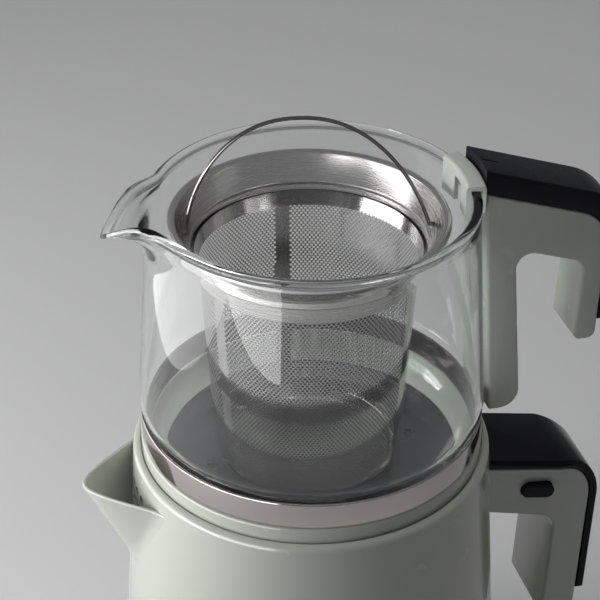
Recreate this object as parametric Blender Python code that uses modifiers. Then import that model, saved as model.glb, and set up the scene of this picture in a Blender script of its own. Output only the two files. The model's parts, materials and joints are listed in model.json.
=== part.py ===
"""Two-tier electric tea maker: a glass teapot with a steel infuser on a painted kettle and its power base.

Metres, +Z up, z = 0 on the table. The spouts point to -X and the handles to +X. The parts are modelled
around the kettle's own axis, and an empty then moves that axis so that the origin lies at the middle of the
outline, under the object.
"""
import math

import bmesh
import bpy
from mathutils import Matrix, Vector

MM = 0.001
GAP = 0.3 * MM            # left between pieces that touch
OVERRUN = 2.0 * MM        # how far a cutter runs past what it cuts
TURN_STEPS = 40
INFUSER_STEPS = 32
SMALL_STEPS = 16
SCREW_STEPS = 8
HOLE_STEPS = 10

# Power base
FOOT_HEIGHT = 3.2 * MM
FOOT_RADIUS = 6.5 * MM
FOOT_INSET = 18.6 * MM        # from the housing's inner wall to the circle of feet and screws
FOOT_RECESS = 1.2 * MM
FOOT_COUNT = 4
BASE_RADIUS = 87.0 * MM
BASE_HEIGHT = 22.0 * MM
BASE_WALL = 2.4 * MM
BASE_EDGE = 4.0 * MM
BASE_COVER_THICKNESS = 2.4 * MM
TONGUE_REACH = 124.0 * MM
TONGUE_ROOT = 50.0 * MM
TONGUE_HALF_WIDTH = 34.0 * MM
TONGUE_TOP = 21.0 * MM
TONGUE_NOSE = 9.0 * MM
TONGUE_BREAK = 92.0 * MM
TONGUE_ROUND = 5.0 * MM
TONGUE_WALL = 2.6 * MM
PANEL_LENGTH = 22.0 * MM
PANEL_HALF_WIDTH = 25.0 * MM
PANEL_THICKNESS = 1.4 * MM
PANEL_EDGE = 0.4 * MM
BUTTON_RADIUS = 6.2 * MM
BUTTON_SPACING = 15.5 * MM
BUTTON_PROUD = 1.6 * MM
BUTTON_UNDERCUT = 1.4 * MM    # the cap's underside above the panel
BUTTON_EDGE = 0.8 * MM
BUTTON_STEM_RADIUS = 3.2 * MM
BUTTON_STEM_LENGTH = 4.0 * MM
WINDOW_RADIUS = 2.4 * MM
WINDOW_PROUD = 0.3 * MM
CONNECTOR_RADIUS = 16.0 * MM
CONNECTOR_RISE = 7.0 * MM
CONNECTOR_FLANGE = 4.0 * MM
CONNECTOR_FLOOR = 1.6 * MM
PIN_RADIUS = 4.4 * MM
PIN_RISE = 4.5 * MM
RING_GROOVE = 2.6 * MM
GLAND_RADIUS = 5.2 * MM
GLAND_LENGTH = 9.0 * MM
GLAND_BORE = 3.4 * MM
GLAND_EDGE = 1.0 * MM
GLAND_SETBACK = 0.7 * MM      # its flat flange lies this far inside the curved wall
SCREW_RADIUS = 3.2 * MM
SCREW_HEAD = 1.1 * MM
SCREW_SHANK = 1.5 * MM
SCREW_LENGTH = 5.0 * MM

# Kettle
KETTLE_BOTTOM_RADIUS = 83.4 * MM
KETTLE_TOP_RADIUS = 72.4 * MM
KETTLE_HEIGHT = 147.4 * MM
KETTLE_WALL = 2.0 * MM
SHOULDER_ROUND = 2.8 * MM
SHOULDER_RIM_RADIUS = 69.6 * MM
MOUTH_RADIUS = 66.6 * MM
MOUTH_SEAT_DEPTH = 1.6 * MM
MOUTH_THICKNESS = 3.0 * MM
SKIRT_ROUND = 1.2 * MM
HEATER_LEVEL = 20.0 * MM
HEATER_THICKNESS = 2.0 * MM
HEATER_LEDGE = 2.4 * MM
HEATER_EDGE = 0.6 * MM
BOTTOM_COVER_RECESS = 1.0 * MM
BOTTOM_COVER_THICKNESS = 2.2 * MM
SOCKET_RADIUS = 22.0 * MM
SOCKET_WALL = 2.0 * MM
ELEMENT_CIRCLE = 50.0 * MM
ELEMENT_RADIUS = 3.4 * MM
ELEMENT_SWEEP = math.radians(310.0)
ELEMENT_STEPS = 30
THERMOSTAT_RADIUS = 11.0 * MM
THERMOSTAT_HEIGHT = 2.6 * MM
KETTLE_SCREW_COUNT = 3

# Kettle spout
BEAK_REACH = 95.0 * MM
BEAK_HALF_WIDTH = 26.5 * MM
BEAK_DROP = 7.6 * MM          # from the shoulder's rim down to the beak's open top
BEAK_DEPTH = 41.0 * MM
BEAK_WALL = 1.8 * MM
BEAK_TIP_ROUND = 8.0 * MM
BEAK_KEEL_HALF_WIDTH = 1.0 * MM
BEAK_ROOT_SHARE = 0.9         # of the kettle's radius, where the beak's form starts inside the wall
BEAK_SIDE_SHARE = 0.93        # of the kettle's radius, where its sides turn in towards the tip
BEAK_TAPER_SHARE = 0.82       # of its half width, lost between its top and its keel
BEAK_TIP_SHARE = 0.75         # of its half width, the largest round its tip can take
BEAK_SIDE_INSET = 1.3         # a wall's thickness across the plan, for each side's slant
BEAK_LEVEL_POWER = 1.1
POUR_HOLE_RADIUS = 2.1 * MM
POUR_HOLE_PITCH = 6.4 * MM
POUR_HOLE_DROP = 5.8 * MM      # of the top row below the beak's top
POUR_HOLE_ROWS = (4, 3, 2)
FILTER_HEIGHT = 24.0 * MM
FILTER_HALF_ANGLE = math.radians(15.0)
FILTER_THICKNESS = 1.0 * MM
FILTER_SLOT = 1.5 * MM
FILTER_SLOT_COUNT = 7
FILTER_SLOTTED_SHARE = 0.9

# Kettle lid, which is the teapot's seat
LID_RING_RADIUS = 69.0 * MM
LID_RING_HEIGHT = 7.6 * MM
LID_LOWER_EDGE = 0.8 * MM
LID_UPPER_EDGE = 1.1 * MM
LID_PLUG_RADIUS = 65.4 * MM
LID_PLUG_DEPTH = 14.6 * MM
LID_PLUG_WALL = 2.2 * MM
LID_PLATE_RADIUS = 59.8 * MM  # where the painted ring gives way to the dark plate
LID_PLATE_THICKNESS = 2.0 * MM
LID_SEAL_RADIUS = 1.3 * MM
VENT_CIRCLE = 42.0 * MM
VENT_RADIUS = 2.6 * MM
VENT_COUNT = 6

# Glass teapot
RIM_RADIUS = 61.4 * MM
RIM_BEAD = 1.95 * MM
GLASS_HEIGHT = 118.2 * MM     # from the foot to the middle of the rim's bead
GLASS_BOTTOM_RADIUS = 67.2 * MM
BELLY_RADIUS = 69.0 * MM
BELLY_RISE = 5.0 * MM         # above the band's top edge
GLASS_WALL = 2.2 * MM
GLASS_FLOOR = 3.0 * MM
GLASS_HEEL = 20.0 * MM
NECK_DROP = 4.5 * MM
NECK_RADIUS = 63.1 * MM
LIP_REACH = 17.4 * MM
LIP_HALF_ANGLE = math.radians(31.0)
LIP_DEPTH = 24.0 * MM
LIP_HUMP = 3.6 * MM
LIP_DROOP = 5.6 * MM
LIP_DROOP_SHARE = 0.55        # of the lip's half angle, over which its tip droops
LIP_BLUNT_SHARE = 0.1         # of the lip's half angle, over which its tip is rounded
LIP_PINCH_SHARE = 0.35        # of the width, lost at the tip
LIP_POWERS = {"sides": 1.45, "fade": 4.2, "hump": 6.0, "droop": 1.5, "droop_fade": 4.0}
BAND_BOTTOM = 15.8 * MM       # above the glass's foot
BAND_WIDTH = 10.7 * MM
BAND_THICKNESS = 1.0 * MM
BAND_EDGE = 0.4 * MM
BRACKET_HALF_WIDTH = 6.0 * MM
BRACKET_HEIGHT = 8.0 * MM

# Teapot handle
CLIP_HALF_ANGLE = math.radians(13.5)
CLIP_WALL = 1.7 * MM
CLIP_EDGE = 1.3 * MM
CLIP_LEG = 10.5 * MM
CLIP_OUTER_LEG = 7.0 * MM
CLIP_NOTCH_HALF_ANGLE = math.radians(3.6)
POT_HANDLE_HALF_WIDTH = 11.4 * MM
POT_COVER_THICKNESS = 9.0 * MM
POT_COVER_REACH = 5.4 * MM    # how far in the cover's strip starts, before it is cut round the rim clip
POT_ARM_SLOPE = math.radians(18.6)
POT_LEG_TOP = 65.3 * MM
POT_LEG_BOTTOM = 72.4 * MM
POT_LEG_THICKNESS = 13.6 * MM
POT_LEG_FOOT = 14.4 * MM      # above the glass's foot
POT_ARM_DROP = 1.8 * MM       # the arm's top at the clip, below the rim
POT_ARM_DEPTH = 22.0 * MM
POT_GRIP_INNER = 108.0 * MM
POT_GRIP_THICKNESS = 9.5 * MM
POT_GRIP_BOTTOM = 42.9 * MM   # above the glass's foot
POT_CORNER = 17.0 * MM
POT_GRIP_LEAN = 1.0 * MM
POT_GRIP_ROUND = 3.4 * MM
POT_GAP_ROUND = 6.0 * MM
POT_LEG_ROUND = 8.0 * MM
COVER_END_SHARE = 0.2         # of the grip's straight run, left bare at its foot
SLIT_LENGTH = 6.8 * MM
SLIT_WIDTH = 0.9 * MM
SLIT_DEPTH = 3.0 * MM
SLIT_START = 1.2 * MM         # from the cover's inner end
HANDLE_EDGE = 1.2 * MM

# Kettle handle
ARM_TOP = 130.5 * MM          # the arm's top at the body, above the kettle's bottom
ARM_SLOPE = math.radians(11.0)
ARM_DEPTH = 22.5 * MM
ARM_HALF_WIDTH = 18.6 * MM
ARM_COVER_THICKNESS = 3.6 * MM
GRIP_INNER = 104.0 * MM
GRIP_THICKNESS = 17.5 * MM
GRIP_BOTTOM = 34.0 * MM       # above the kettle's bottom
GRIP_CORNER = 20.0 * MM
GRIP_HALF_WIDTH = 14.0 * MM
GRIP_LEAN = 2.0 * MM
GRIP_FOOT_ROUND = 7.0 * MM
GRIP_INNER_ROUND = 9.0 * MM
ARM_UNDER_SLOPE = math.radians(15.0)
SIDE_BUTTON_LENGTH = 15.0 * MM
SIDE_BUTTON_HEIGHT = 6.6 * MM
SIDE_BUTTON_START = 87.0 * MM
SIDE_BUTTON_DROP = 10.6 * MM   # its middle line below the arm's sage top
SIDE_BUTTON_PROUD = 1.4 * MM
SIDE_BUTTON_DEPTH = 5.0 * MM
SIDE_BUTTON_TRAVEL = 1.2 * MM

# Infuser
INFUSER_TURN = math.radians(-10.0)
FLANGE_RADIUS = 53.8 * MM
FLANGE_BEAD = 1.7 * MM
FLANGE_DROP = 8.1 * MM        # the rolled edge below the glass rim
FLANGE_WALL = 0.7 * MM
ROLL_END = math.radians(-126.0)
ROLL_JOIN_SHARE = 0.12        # of the cone's underside, covered by the rolled edge
COLLAR_RADIUS = 43.6 * MM
CONE_DEPTH = 10.4 * MM
COLLAR_DEPTH = 8.4 * MM
BASKET_FOOT_RADIUS = 36.6 * MM
BASKET_WALL = 0.6 * MM
BASKET_CORNER = 6.0 * MM
BASKET_CUP = 9.0 * MM
BAIL_WIRE = 0.75 * MM
BAIL_HEIGHT = 47.0 * MM
BAIL_SPAN = 46.0 * MM
BAIL_END = 1.2 * MM           # its cut ends, in from the rolled edge's underside
BAIL_POWERS = (0.86, 0.92)    # how square its shoulders are, across and upwards
BAIL_PIVOT_DROP = 5.0 * MM     # the pivot below the rolled edge
BAIL_POINTS = 33

# Places worked out from the sizes above
FOOT_CIRCLE = BASE_RADIUS - BASE_WALL - FOOT_INSET
BASE_BOTTOM = FOOT_HEIGHT - FOOT_RECESS
BASE_TOP = FOOT_HEIGHT + BASE_HEIGHT
KETTLE_BOTTOM = BASE_TOP + GAP
KETTLE_RIM = KETTLE_BOTTOM + KETTLE_HEIGHT
HEATER_TOP = KETTLE_BOTTOM + HEATER_LEVEL
MOUTH_SEAT = KETTLE_RIM - MOUTH_SEAT_DEPTH
LID_BOTTOM = MOUTH_SEAT + GAP
LID_TOP = LID_BOTTOM + LID_RING_HEIGHT
BAND_TOP_GAP = 2 * GAP
GLASS_FOOT = LID_TOP + BAND_TOP_GAP - BAND_BOTTOM
RIM_LEVEL = GLASS_FOOT + GLASS_HEIGHT
FLANGE_LEVEL = RIM_LEVEL - FLANGE_DROP
GLASS_FLOOR_TOP = GLASS_FOOT + GLASS_FLOOR
BEAK_TOP = KETTLE_RIM - BEAK_DROP
BAND_TOP = GLASS_FOOT + BAND_BOTTOM + BAND_WIDTH
BELLY_LEVEL = BAND_TOP + BELLY_RISE
CLIP_TOP = RIM_LEVEL + RIM_BEAD + GAP + CLIP_WALL
POT_ARM_LEVEL = RIM_LEVEL - POT_ARM_DROP
HANDLE_REACH = max(GRIP_INNER + GRIP_THICKNESS + GAP + ARM_COVER_THICKNESS, TONGUE_REACH,
                   POT_GRIP_INNER + POT_GRIP_THICKNESS + GAP + POT_COVER_THICKNESS)
AXIS_X = (BEAK_REACH - HANDLE_REACH) / 2

SAGE = (0.52, 0.535, 0.49)
BLACK = (0.012, 0.012, 0.016)
DARK_GREY = (0.06, 0.06, 0.065)
STEEL = (0.62, 0.61, 0.60)
GLASS = (0.93, 0.95, 0.95)
RUBBER = (0.03, 0.03, 0.03)
WHITE_SEAL = (0.75, 0.75, 0.72)
AMBER = (0.85, 0.45, 0.10)


def clear_scene():
    """Remove the objects and collections of the open file."""
    for item in list(bpy.data.objects):
        bpy.data.objects.remove(item, do_unlink=True)
    for group in list(bpy.data.collections):
        bpy.data.collections.remove(group)


def make_collection(name):
    group = bpy.data.collections.new(name)
    bpy.context.scene.collection.children.link(group)
    return group


def material(name, colour, roughness, metallic=0.0, transmission=0.0):
    """A Principled material, shared by every piece that asks for the same name."""
    found = bpy.data.materials.get(name)
    if found:
        return found
    made = bpy.data.materials.new(name)
    made.use_nodes = True
    shader = made.node_tree.nodes["Principled BSDF"]
    shader.inputs["Base Color"].default_value = (*colour, 1.0)
    shader.inputs["Roughness"].default_value = roughness
    shader.inputs["Metallic"].default_value = metallic
    shader.inputs["Transmission Weight"].default_value = transmission
    made.diffuse_color = (*colour, 1.0)
    return made


def paint():
    return material("sage_paint", SAGE, 0.22)


def black_plastic():
    return material("black_plastic", BLACK, 0.15)


def steel():
    return material("steel", STEEL, 0.25, metallic=1.0)


class Build:
    """The two collections and the axis empty that every piece is parented to."""

    def __init__(self):
        self.parts = make_collection("automatic_tea_maker")
        self.cutters = make_collection("cutters")
        self.axis = bpy.data.objects.new("kettle_axis", None)
        self.axis.location = (AXIS_X, 0, 0)
        self.parts.objects.link(self.axis)

    def add(self, name, mesh, finish=None, parent=None):
        """A visible piece when it has a finish, otherwise a cutter."""
        item = bpy.data.objects.new(name, mesh)
        item.parent = parent or self.axis
        if finish:
            mesh.materials.clear()
            mesh.materials.append(finish)
            self.parts.objects.link(item)
        else:
            item.hide_render = True
            item.display_type = "WIRE"
            self.cutters.objects.link(item)
        return item

    def add_ring(self, name, mesh, finish, count, start=0.0):
        """Numbered copies of one piece, turned about the kettle's axis, which share their mesh."""
        for k in range(count):
            item = self.add(f"{name}_{k + 1}", mesh, finish)
            item.rotation_euler.z = start + 2 * math.pi * k / count

    def empty(self, name, location, rotation=(0, 0, 0), parent=None):
        item = bpy.data.objects.new(name, None)
        item.location = location
        item.rotation_euler = rotation
        item.parent = parent or self.axis
        self.parts.objects.link(item)
        return item


def smooth(mesh, degrees=35):
    mesh.shade_smooth()
    mesh.set_sharp_from_angle(angle=math.radians(degrees))


def mesh_from(bm, name):
    bmesh.ops.recalc_face_normals(bm, faces=bm.faces)
    mesh = bpy.data.meshes.new(name)
    bm.to_mesh(mesh)
    bm.free()
    smooth(mesh)
    return mesh


def rounded(corners, parts=3):
    """Points of a path or an outline whose corners are (x, z, radius); radius 0 keeps the corner sharp.

    The first and last corner are taken as neighbours, so an open path gives its ends the radius 0.
    """
    points = []
    count = len(corners)
    for index, (x, z, radius) in enumerate(corners):
        here = Vector((x, z))
        if radius <= 0:
            points.append((x, z))
            continue
        before = Vector(corners[index - 1][:2]) - here
        after = Vector(corners[(index + 1) % count][:2]) - here
        half = before.angle(after) / 2
        trim = radius / math.tan(half)
        centre = here + (before.normalized() + after.normalized()).normalized() * (radius / math.sin(half))
        start = here + before.normalized() * trim - centre
        end = here + after.normalized() * trim - centre
        sweep = start.angle_signed(end)
        for step in range(parts + 1):
            turn = -sweep * step / parts
            c, s = math.cos(turn), math.sin(turn)
            points.append((centre.x + start.x * c - start.y * s, centre.y + start.x * s + start.y * c))
    return points


def arc_points(centre, radius, start, end, parts):
    """Points on an arc in a plane, from one angle to another."""
    return [(centre[0] + radius * math.cos(start + (end - start) * step / parts),
             centre[1] + radius * math.sin(start + (end - start) * step / parts))
            for step in range(parts + 1)]


def signed_area(points):
    return sum(a[0] * b[1] - b[0] * a[1] for a, b in zip(points, points[1:] + points[:1])) / 2


def offset_path(points, distance):
    """An open path moved to its left by a distance, corner by corner."""
    moved = []
    for index, point in enumerate(points):
        here = Vector(point)
        before = here - Vector(points[index - 1]) if index else None
        after = Vector(points[index + 1]) - here if index < len(points) - 1 else None
        sides = [Vector((-way.y, way.x)).normalized() for way in (before, after) if way is not None]
        side = sum(sides, Vector((0, 0))).normalized()
        reach = distance / max(side.dot(sides[0]), 0.5)
        moved.append(tuple(here + side * reach))
    return moved


def turned_mesh(name, points, steps=TURN_STEPS):
    """Revolve a closed (radius, height) outline about Z with a Screw modifier and return the mesh."""
    if signed_area(points) > 0:
        points = points[::-1]
    on_axis = [abs(r) < 1e-9 for r, z in points]
    edges = [(i, (i + 1) % len(points)) for i in range(len(points))]
    edges = [(a, b) for a, b in edges if not (on_axis[a] and on_axis[b])]
    mesh = bpy.data.meshes.new(name + "_profile")
    mesh.from_pydata([(r, 0, z) for r, z in points], edges, [])
    holder = bpy.data.objects.new(name + "_profile", mesh)
    bpy.context.scene.collection.objects.link(holder)
    screw = holder.modifiers.new("Screw", "SCREW")
    screw.steps = steps
    screw.render_steps = steps
    screw.use_merge_vertices = True
    screw.merge_threshold = 1e-6
    return take_mesh(holder, name)


def take_mesh(holder, name, close=False):
    """The evaluated mesh of an object, which is then removed."""
    bpy.context.view_layer.update()
    seen = holder.evaluated_get(bpy.context.evaluated_depsgraph_get())
    mesh = bpy.data.meshes.new_from_object(seen)
    mesh.name = name
    bpy.data.objects.remove(holder, do_unlink=True)
    bm = bmesh.new()
    bm.from_mesh(mesh)
    if close:
        bmesh.ops.remove_doubles(bm, verts=bm.verts, dist=1e-6)
    bmesh.ops.recalc_face_normals(bm, faces=bm.faces)
    bm.to_mesh(mesh)
    bm.free()
    smooth(mesh)
    return mesh


def prism_mesh(name, outline, half_width, edge=0.0, steps=2):
    """An (x, z) outline carried from -half_width to +half_width along Y, with its side edges rounded."""
    bm = bmesh.new()
    face = bm.faces.new([bm.verts.new((x, -half_width, z)) for x, z in outline])
    grown = bmesh.ops.extrude_face_region(bm, geom=[face])
    moved = [v for v in grown["geom"] if isinstance(v, bmesh.types.BMVert)]
    bmesh.ops.translate(bm, verts=moved, vec=(0, 2 * half_width, 0))
    if edge:
        sides = [e for e in bm.edges if abs(e.verts[0].co.y - e.verts[1].co.y) < 1e-7]
        bmesh.ops.bevel(bm, geom=sides, offset=edge, segments=steps, profile=0.5, affect="EDGES")
    return mesh_from(bm, name)


def sector_mesh(name, outline, half_angle, parts):
    """A closed (radius, height) outline swept about Z from -half_angle to +half_angle, with flat ends."""
    bm = bmesh.new()
    rings = []
    for step in range(parts + 1):
        angle = half_angle * (2 * step / parts - 1)
        c, s = math.cos(angle), math.sin(angle)
        rings.append([bm.verts.new((r * c, r * s, z)) for r, z in outline])
    for first, second in zip(rings, rings[1:]):
        for i in range(len(outline)):
            j = (i + 1) % len(outline)
            bm.faces.new((first[i], first[j], second[j], second[i]))
    bm.faces.new(rings[0])
    bm.faces.new(rings[-1])
    return mesh_from(bm, name)


def loft_mesh(name, rings):
    """Rings of equal counts joined into one closed body."""
    bm = bmesh.new()
    loops = [[bm.verts.new(point) for point in ring] for ring in rings]
    for first, second in zip(loops, loops[1:]):
        for i in range(len(first)):
            j = (i + 1) % len(first)
            bm.faces.new((first[i], first[j], second[j], second[i]))
    bm.faces.new(loops[0])
    bm.faces.new(loops[-1])
    return mesh_from(bm, name)


def cylinder_mesh(name, radius, bottom, top, centre=(0, 0), steps=SMALL_STEPS, top_radius=None):
    bm = bmesh.new()
    place = Matrix.Translation((centre[0], centre[1], (bottom + top) / 2))
    bmesh.ops.create_cone(bm, cap_ends=True, segments=steps, radius1=radius,
                          radius2=radius if top_radius is None else top_radius,
                          depth=top - bottom, matrix=place)
    return mesh_from(bm, name)


def box_mesh(name, low, high, edge=0.0, steps=2):
    bm = bmesh.new()
    size = [b - a for a, b in zip(low, high)]
    middle = [(a + b) / 2 for a, b in zip(low, high)]
    place = Matrix.Translation(middle) @ Matrix.Diagonal((*size, 1))
    bmesh.ops.create_cube(bm, size=1, matrix=place)
    if edge:
        bmesh.ops.bevel(bm, geom=list(bm.edges), offset=edge, segments=steps, profile=0.5, affect="EDGES")
    return mesh_from(bm, name)


def tube_mesh(name, points, radius, closed=False, sides=2):
    """A round bar along points, from a poly curve with filled caps."""
    curve = bpy.data.curves.new(name, "CURVE")
    curve.dimensions = "3D"
    curve.bevel_depth = radius
    curve.bevel_resolution = sides
    curve.use_fill_caps = not closed
    line = curve.splines.new("POLY")
    line.points.add(len(points) - 1)
    for spot, point in zip(line.points, points):
        spot.co = (*point, 1)
    line.use_cyclic_u = closed
    holder = bpy.data.objects.new(name, curve)
    bpy.context.scene.collection.objects.link(holder)
    return take_mesh(holder, name, close=True)


def joined_mesh(name, meshes):
    """Several separate solids in one mesh."""
    bm = bmesh.new()
    for mesh in meshes:
        bm.from_mesh(mesh)
    return mesh_from(bm, name)


def placed(mesh, matrix):
    copy = mesh.copy()
    copy.transform(matrix)
    return copy


def cut(item, cutter, operation="DIFFERENCE"):
    tool = item.modifiers.new(cutter.name, "BOOLEAN")
    tool.operation = operation
    tool.solver = "EXACT"
    tool.object = cutter
    return item


def ring_of(mesh, count, start=0.0):
    """Copies of a mesh turned about Z."""
    turn = 2 * math.pi / count
    return [placed(mesh, Matrix.Rotation(start + turn * k, 4, "Z")) for k in range(count)]


def screw_mesh(name, head_level, up):
    """A pan-head screw at the origin: its head's outer face at head_level, its shank along up or down."""
    away = 1 if up else -1
    outline = [(0, head_level), (SCREW_RADIUS, head_level), (SCREW_RADIUS, head_level + away * SCREW_HEAD),
               (SCREW_SHANK, head_level + away * SCREW_HEAD), (SCREW_SHANK, head_level + away * SCREW_LENGTH),
               (0, head_level + away * SCREW_LENGTH)]
    return turned_mesh(name, outline, SCREW_STEPS)


# Shapes that several pieces share

def kettle_radius(z):
    """The painted cone's outer radius at a height."""
    share = (z - KETTLE_BOTTOM) / KETTLE_HEIGHT
    return KETTLE_BOTTOM_RADIUS + (KETTLE_TOP_RADIUS - KETTLE_BOTTOM_RADIUS) * share


def kettle_form(name, grow=0.0):
    """The kettle's outer form as a solid, grown outwards by a clearance."""
    outline = rounded([(0, KETTLE_BOTTOM - grow, 0),
                       (KETTLE_BOTTOM_RADIUS + grow, KETTLE_BOTTOM - grow, SKIRT_ROUND),
                       (KETTLE_TOP_RADIUS + grow, KETTLE_RIM + grow, SHOULDER_ROUND),
                       (0, KETTLE_RIM + grow, 0)])
    return turned_mesh(name, outline)


def glass_radius(z):
    """The glass wall's outer radius between its belly and its neck."""
    share = (z - BELLY_LEVEL) / (RIM_LEVEL - NECK_DROP - BELLY_LEVEL)
    return BELLY_RADIUS + (NECK_RADIUS - BELLY_RADIUS) * share


def lip_pull(x, y, z):
    """How far out and up the glass is drawn at a point near the teapot's spout."""
    away = math.acos(max(-1.0, min(1.0, -x / max(math.hypot(x, y), 1e-9)))) / LIP_HALF_ANGLE
    if away >= 1:
        return 0.0, 0.0
    depth = (z - (RIM_LEVEL - LIP_DEPTH)) / LIP_DEPTH
    if depth <= 0:
        return 0.0, 0.0
    depth = min(depth, 1.0)
    blunt = ((math.hypot(away, LIP_BLUNT_SHARE) - LIP_BLUNT_SHARE)
             / (math.hypot(1, LIP_BLUNT_SHARE) - LIP_BLUNT_SHARE))
    out = LIP_REACH * (1 - blunt) ** LIP_POWERS["sides"] * depth ** LIP_POWERS["fade"]
    hump = LIP_HUMP * math.sin(math.pi * away) ** 2 * depth ** LIP_POWERS["hump"]
    droop = (LIP_DROOP * max(1 - away / LIP_DROOP_SHARE, 0) ** LIP_POWERS["droop"]
             * depth ** LIP_POWERS["droop_fade"])
    return out, hump - droop


# Power base

def panel_place(build):
    """The empty at the middle of the tongue's sloping face, with its local Z square to the face."""
    run = TONGUE_REACH - TONGUE_BREAK
    fall = TONGUE_TOP - TONGUE_NOSE
    middle = (TONGUE_BREAK + run / 2, 0, FOOT_HEIGHT + TONGUE_NOSE + fall / 2)
    return build.empty("panel_frame", middle, (0, math.atan2(fall, run), 0))


def tongue_outline(inset=0.0, floor=0.0):
    bottom = BASE_BOTTOM + floor
    fall = math.atan2(TONGUE_TOP - TONGUE_NOSE, TONGUE_REACH - TONGUE_BREAK)
    lift = inset / math.cos(fall)
    nose = FOOT_HEIGHT + TONGUE_NOSE + inset * math.tan(fall) - lift
    return [(TONGUE_ROOT, bottom), (TONGUE_REACH - inset, bottom), (TONGUE_REACH - inset, nose),
            (TONGUE_BREAK, FOOT_HEIGHT + TONGUE_TOP - lift), (TONGUE_ROOT, FOOT_HEIGHT + TONGUE_TOP - lift)]


def tongue_inner_half_width():
    return TONGUE_HALF_WIDTH - TONGUE_WALL - TONGUE_ROUND / 2


def base_housing(build, panel):
    outline = rounded([(0, BASE_BOTTOM, 0), (BASE_RADIUS, BASE_BOTTOM, GAP),
                       (BASE_RADIUS, BASE_TOP, BASE_EDGE), (0, BASE_TOP, 0)])
    housing = build.add("base_housing", turned_mesh("base_housing", outline), paint())
    tongue = build.add("tongue_form", prism_mesh("tongue_form", tongue_outline(), TONGUE_HALF_WIDTH,
                                                 edge=TONGUE_ROUND, steps=3))
    cut(housing, tongue, "UNION")
    inside = BASE_RADIUS - BASE_WALL
    hollow = build.add("base_hollow", cylinder_mesh("base_hollow", inside, BASE_BOTTOM - OVERRUN,
                                                    BASE_TOP - BASE_WALL, steps=TURN_STEPS))
    cut(housing, hollow)
    tongue_hollow = build.add("tongue_hollow",
                              prism_mesh("tongue_hollow", tongue_outline(TONGUE_WALL, -OVERRUN),
                                         tongue_inner_half_width()))
    cut(housing, tongue_hollow)
    socket = build.add("connector_bore", cylinder_mesh("connector_bore", CONNECTOR_RADIUS + GAP,
                                                       BASE_TOP - BASE_WALL - OVERRUN, BASE_TOP + OVERRUN,
                                                       steps=SMALL_STEPS))
    cut(housing, socket)
    depth = PANEL_THICKNESS + GAP
    recess = build.add("panel_recess",
                       box_mesh("panel_recess", (-PANEL_LENGTH / 2 - GAP, -PANEL_HALF_WIDTH - GAP, -depth),
                                (PANEL_LENGTH / 2 + GAP, PANEL_HALF_WIDTH + GAP, OVERRUN)), parent=panel)
    cut(housing, recess)
    for side in (-1, 1):
        hole = build.add("button_bore", cylinder_mesh("button_bore", BUTTON_STEM_RADIUS + GAP,
                                                      -depth - TONGUE_WALL - OVERRUN, OVERRUN,
                                                      centre=(0, side * BUTTON_SPACING)), parent=panel)
        cut(housing, hole)
    bore = cylinder_mesh("gland_bore", GLAND_RADIUS + GAP, -OVERRUN, OVERRUN + BASE_WALL)
    gland = build.add("gland_bore", placed(bore, gland_matrix()))
    cut(housing, gland)
    return housing


def gland_matrix():
    """The cord outlet's own place: opposite the control panel, at half the base's height, pointing out."""
    level = BASE_BOTTOM + (BASE_TOP - BASE_BOTTOM) / 2
    return Matrix.Translation((BASE_WALL - BASE_RADIUS, 0, level)) @ Matrix.Rotation(-math.pi / 2, 4, "Y")


def base_bottom_cover(build):
    """The flat cover that closes the base and its tongue, recessed for the feet and bored for the screws."""
    radius = BASE_RADIUS - BASE_WALL - GAP
    top = BASE_BOTTOM + BASE_COVER_THICKNESS
    cover = build.add("base_bottom_cover", cylinder_mesh("base_bottom_cover", radius, BASE_BOTTOM, top,
                                                         steps=TURN_STEPS), black_plastic())
    half = tongue_inner_half_width() - GAP
    flap = box_mesh("cover_flap", (TONGUE_ROOT, -half, BASE_BOTTOM),
                    (TONGUE_REACH - TONGUE_WALL - GAP, half, top))
    cut(cover, build.add("cover_flap", flap), "UNION")
    foot_pocket = cylinder_mesh("foot_pocket", FOOT_RADIUS + GAP, BASE_BOTTOM - OVERRUN,
                                BASE_BOTTOM + FOOT_RECESS, centre=(FOOT_CIRCLE, 0))
    pockets = joined_mesh("foot_pockets", ring_of(foot_pocket, FOOT_COUNT, math.pi / FOOT_COUNT))
    cut(cover, build.add("foot_pockets", pockets))
    shank = cylinder_mesh("cover_screw_bore", SCREW_SHANK + GAP, BASE_BOTTOM - OVERRUN, top + OVERRUN,
                          centre=(FOOT_CIRCLE, 0), steps=SCREW_STEPS)
    head = cylinder_mesh("cover_screw_seat", SCREW_RADIUS + GAP, BASE_BOTTOM - OVERRUN,
                         BASE_BOTTOM + SCREW_HEAD + GAP, centre=(FOOT_CIRCLE, 0), steps=SCREW_STEPS)
    cut(cover, build.add("cover_screw_bores", joined_mesh("cover_screw_bores", ring_of(shank, FOOT_COUNT))))
    cut(cover, build.add("cover_screw_seats", joined_mesh("cover_screw_seats", ring_of(head, FOOT_COUNT))))
    return cover


def base_feet(build):
    mesh = cylinder_mesh("rubber_foot", FOOT_RADIUS, 0, FOOT_HEIGHT - GAP, centre=(FOOT_CIRCLE, 0))
    build.add_ring("rubber_foot", mesh, material("rubber", RUBBER, 0.8), FOOT_COUNT, math.pi / FOOT_COUNT)


def base_screws(build):
    mesh = placed(screw_mesh("base_screw", BASE_BOTTOM, True), Matrix.Translation((FOOT_CIRCLE, 0, 0)))
    build.add_ring("base_screw", mesh, steel(), FOOT_COUNT)


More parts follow.
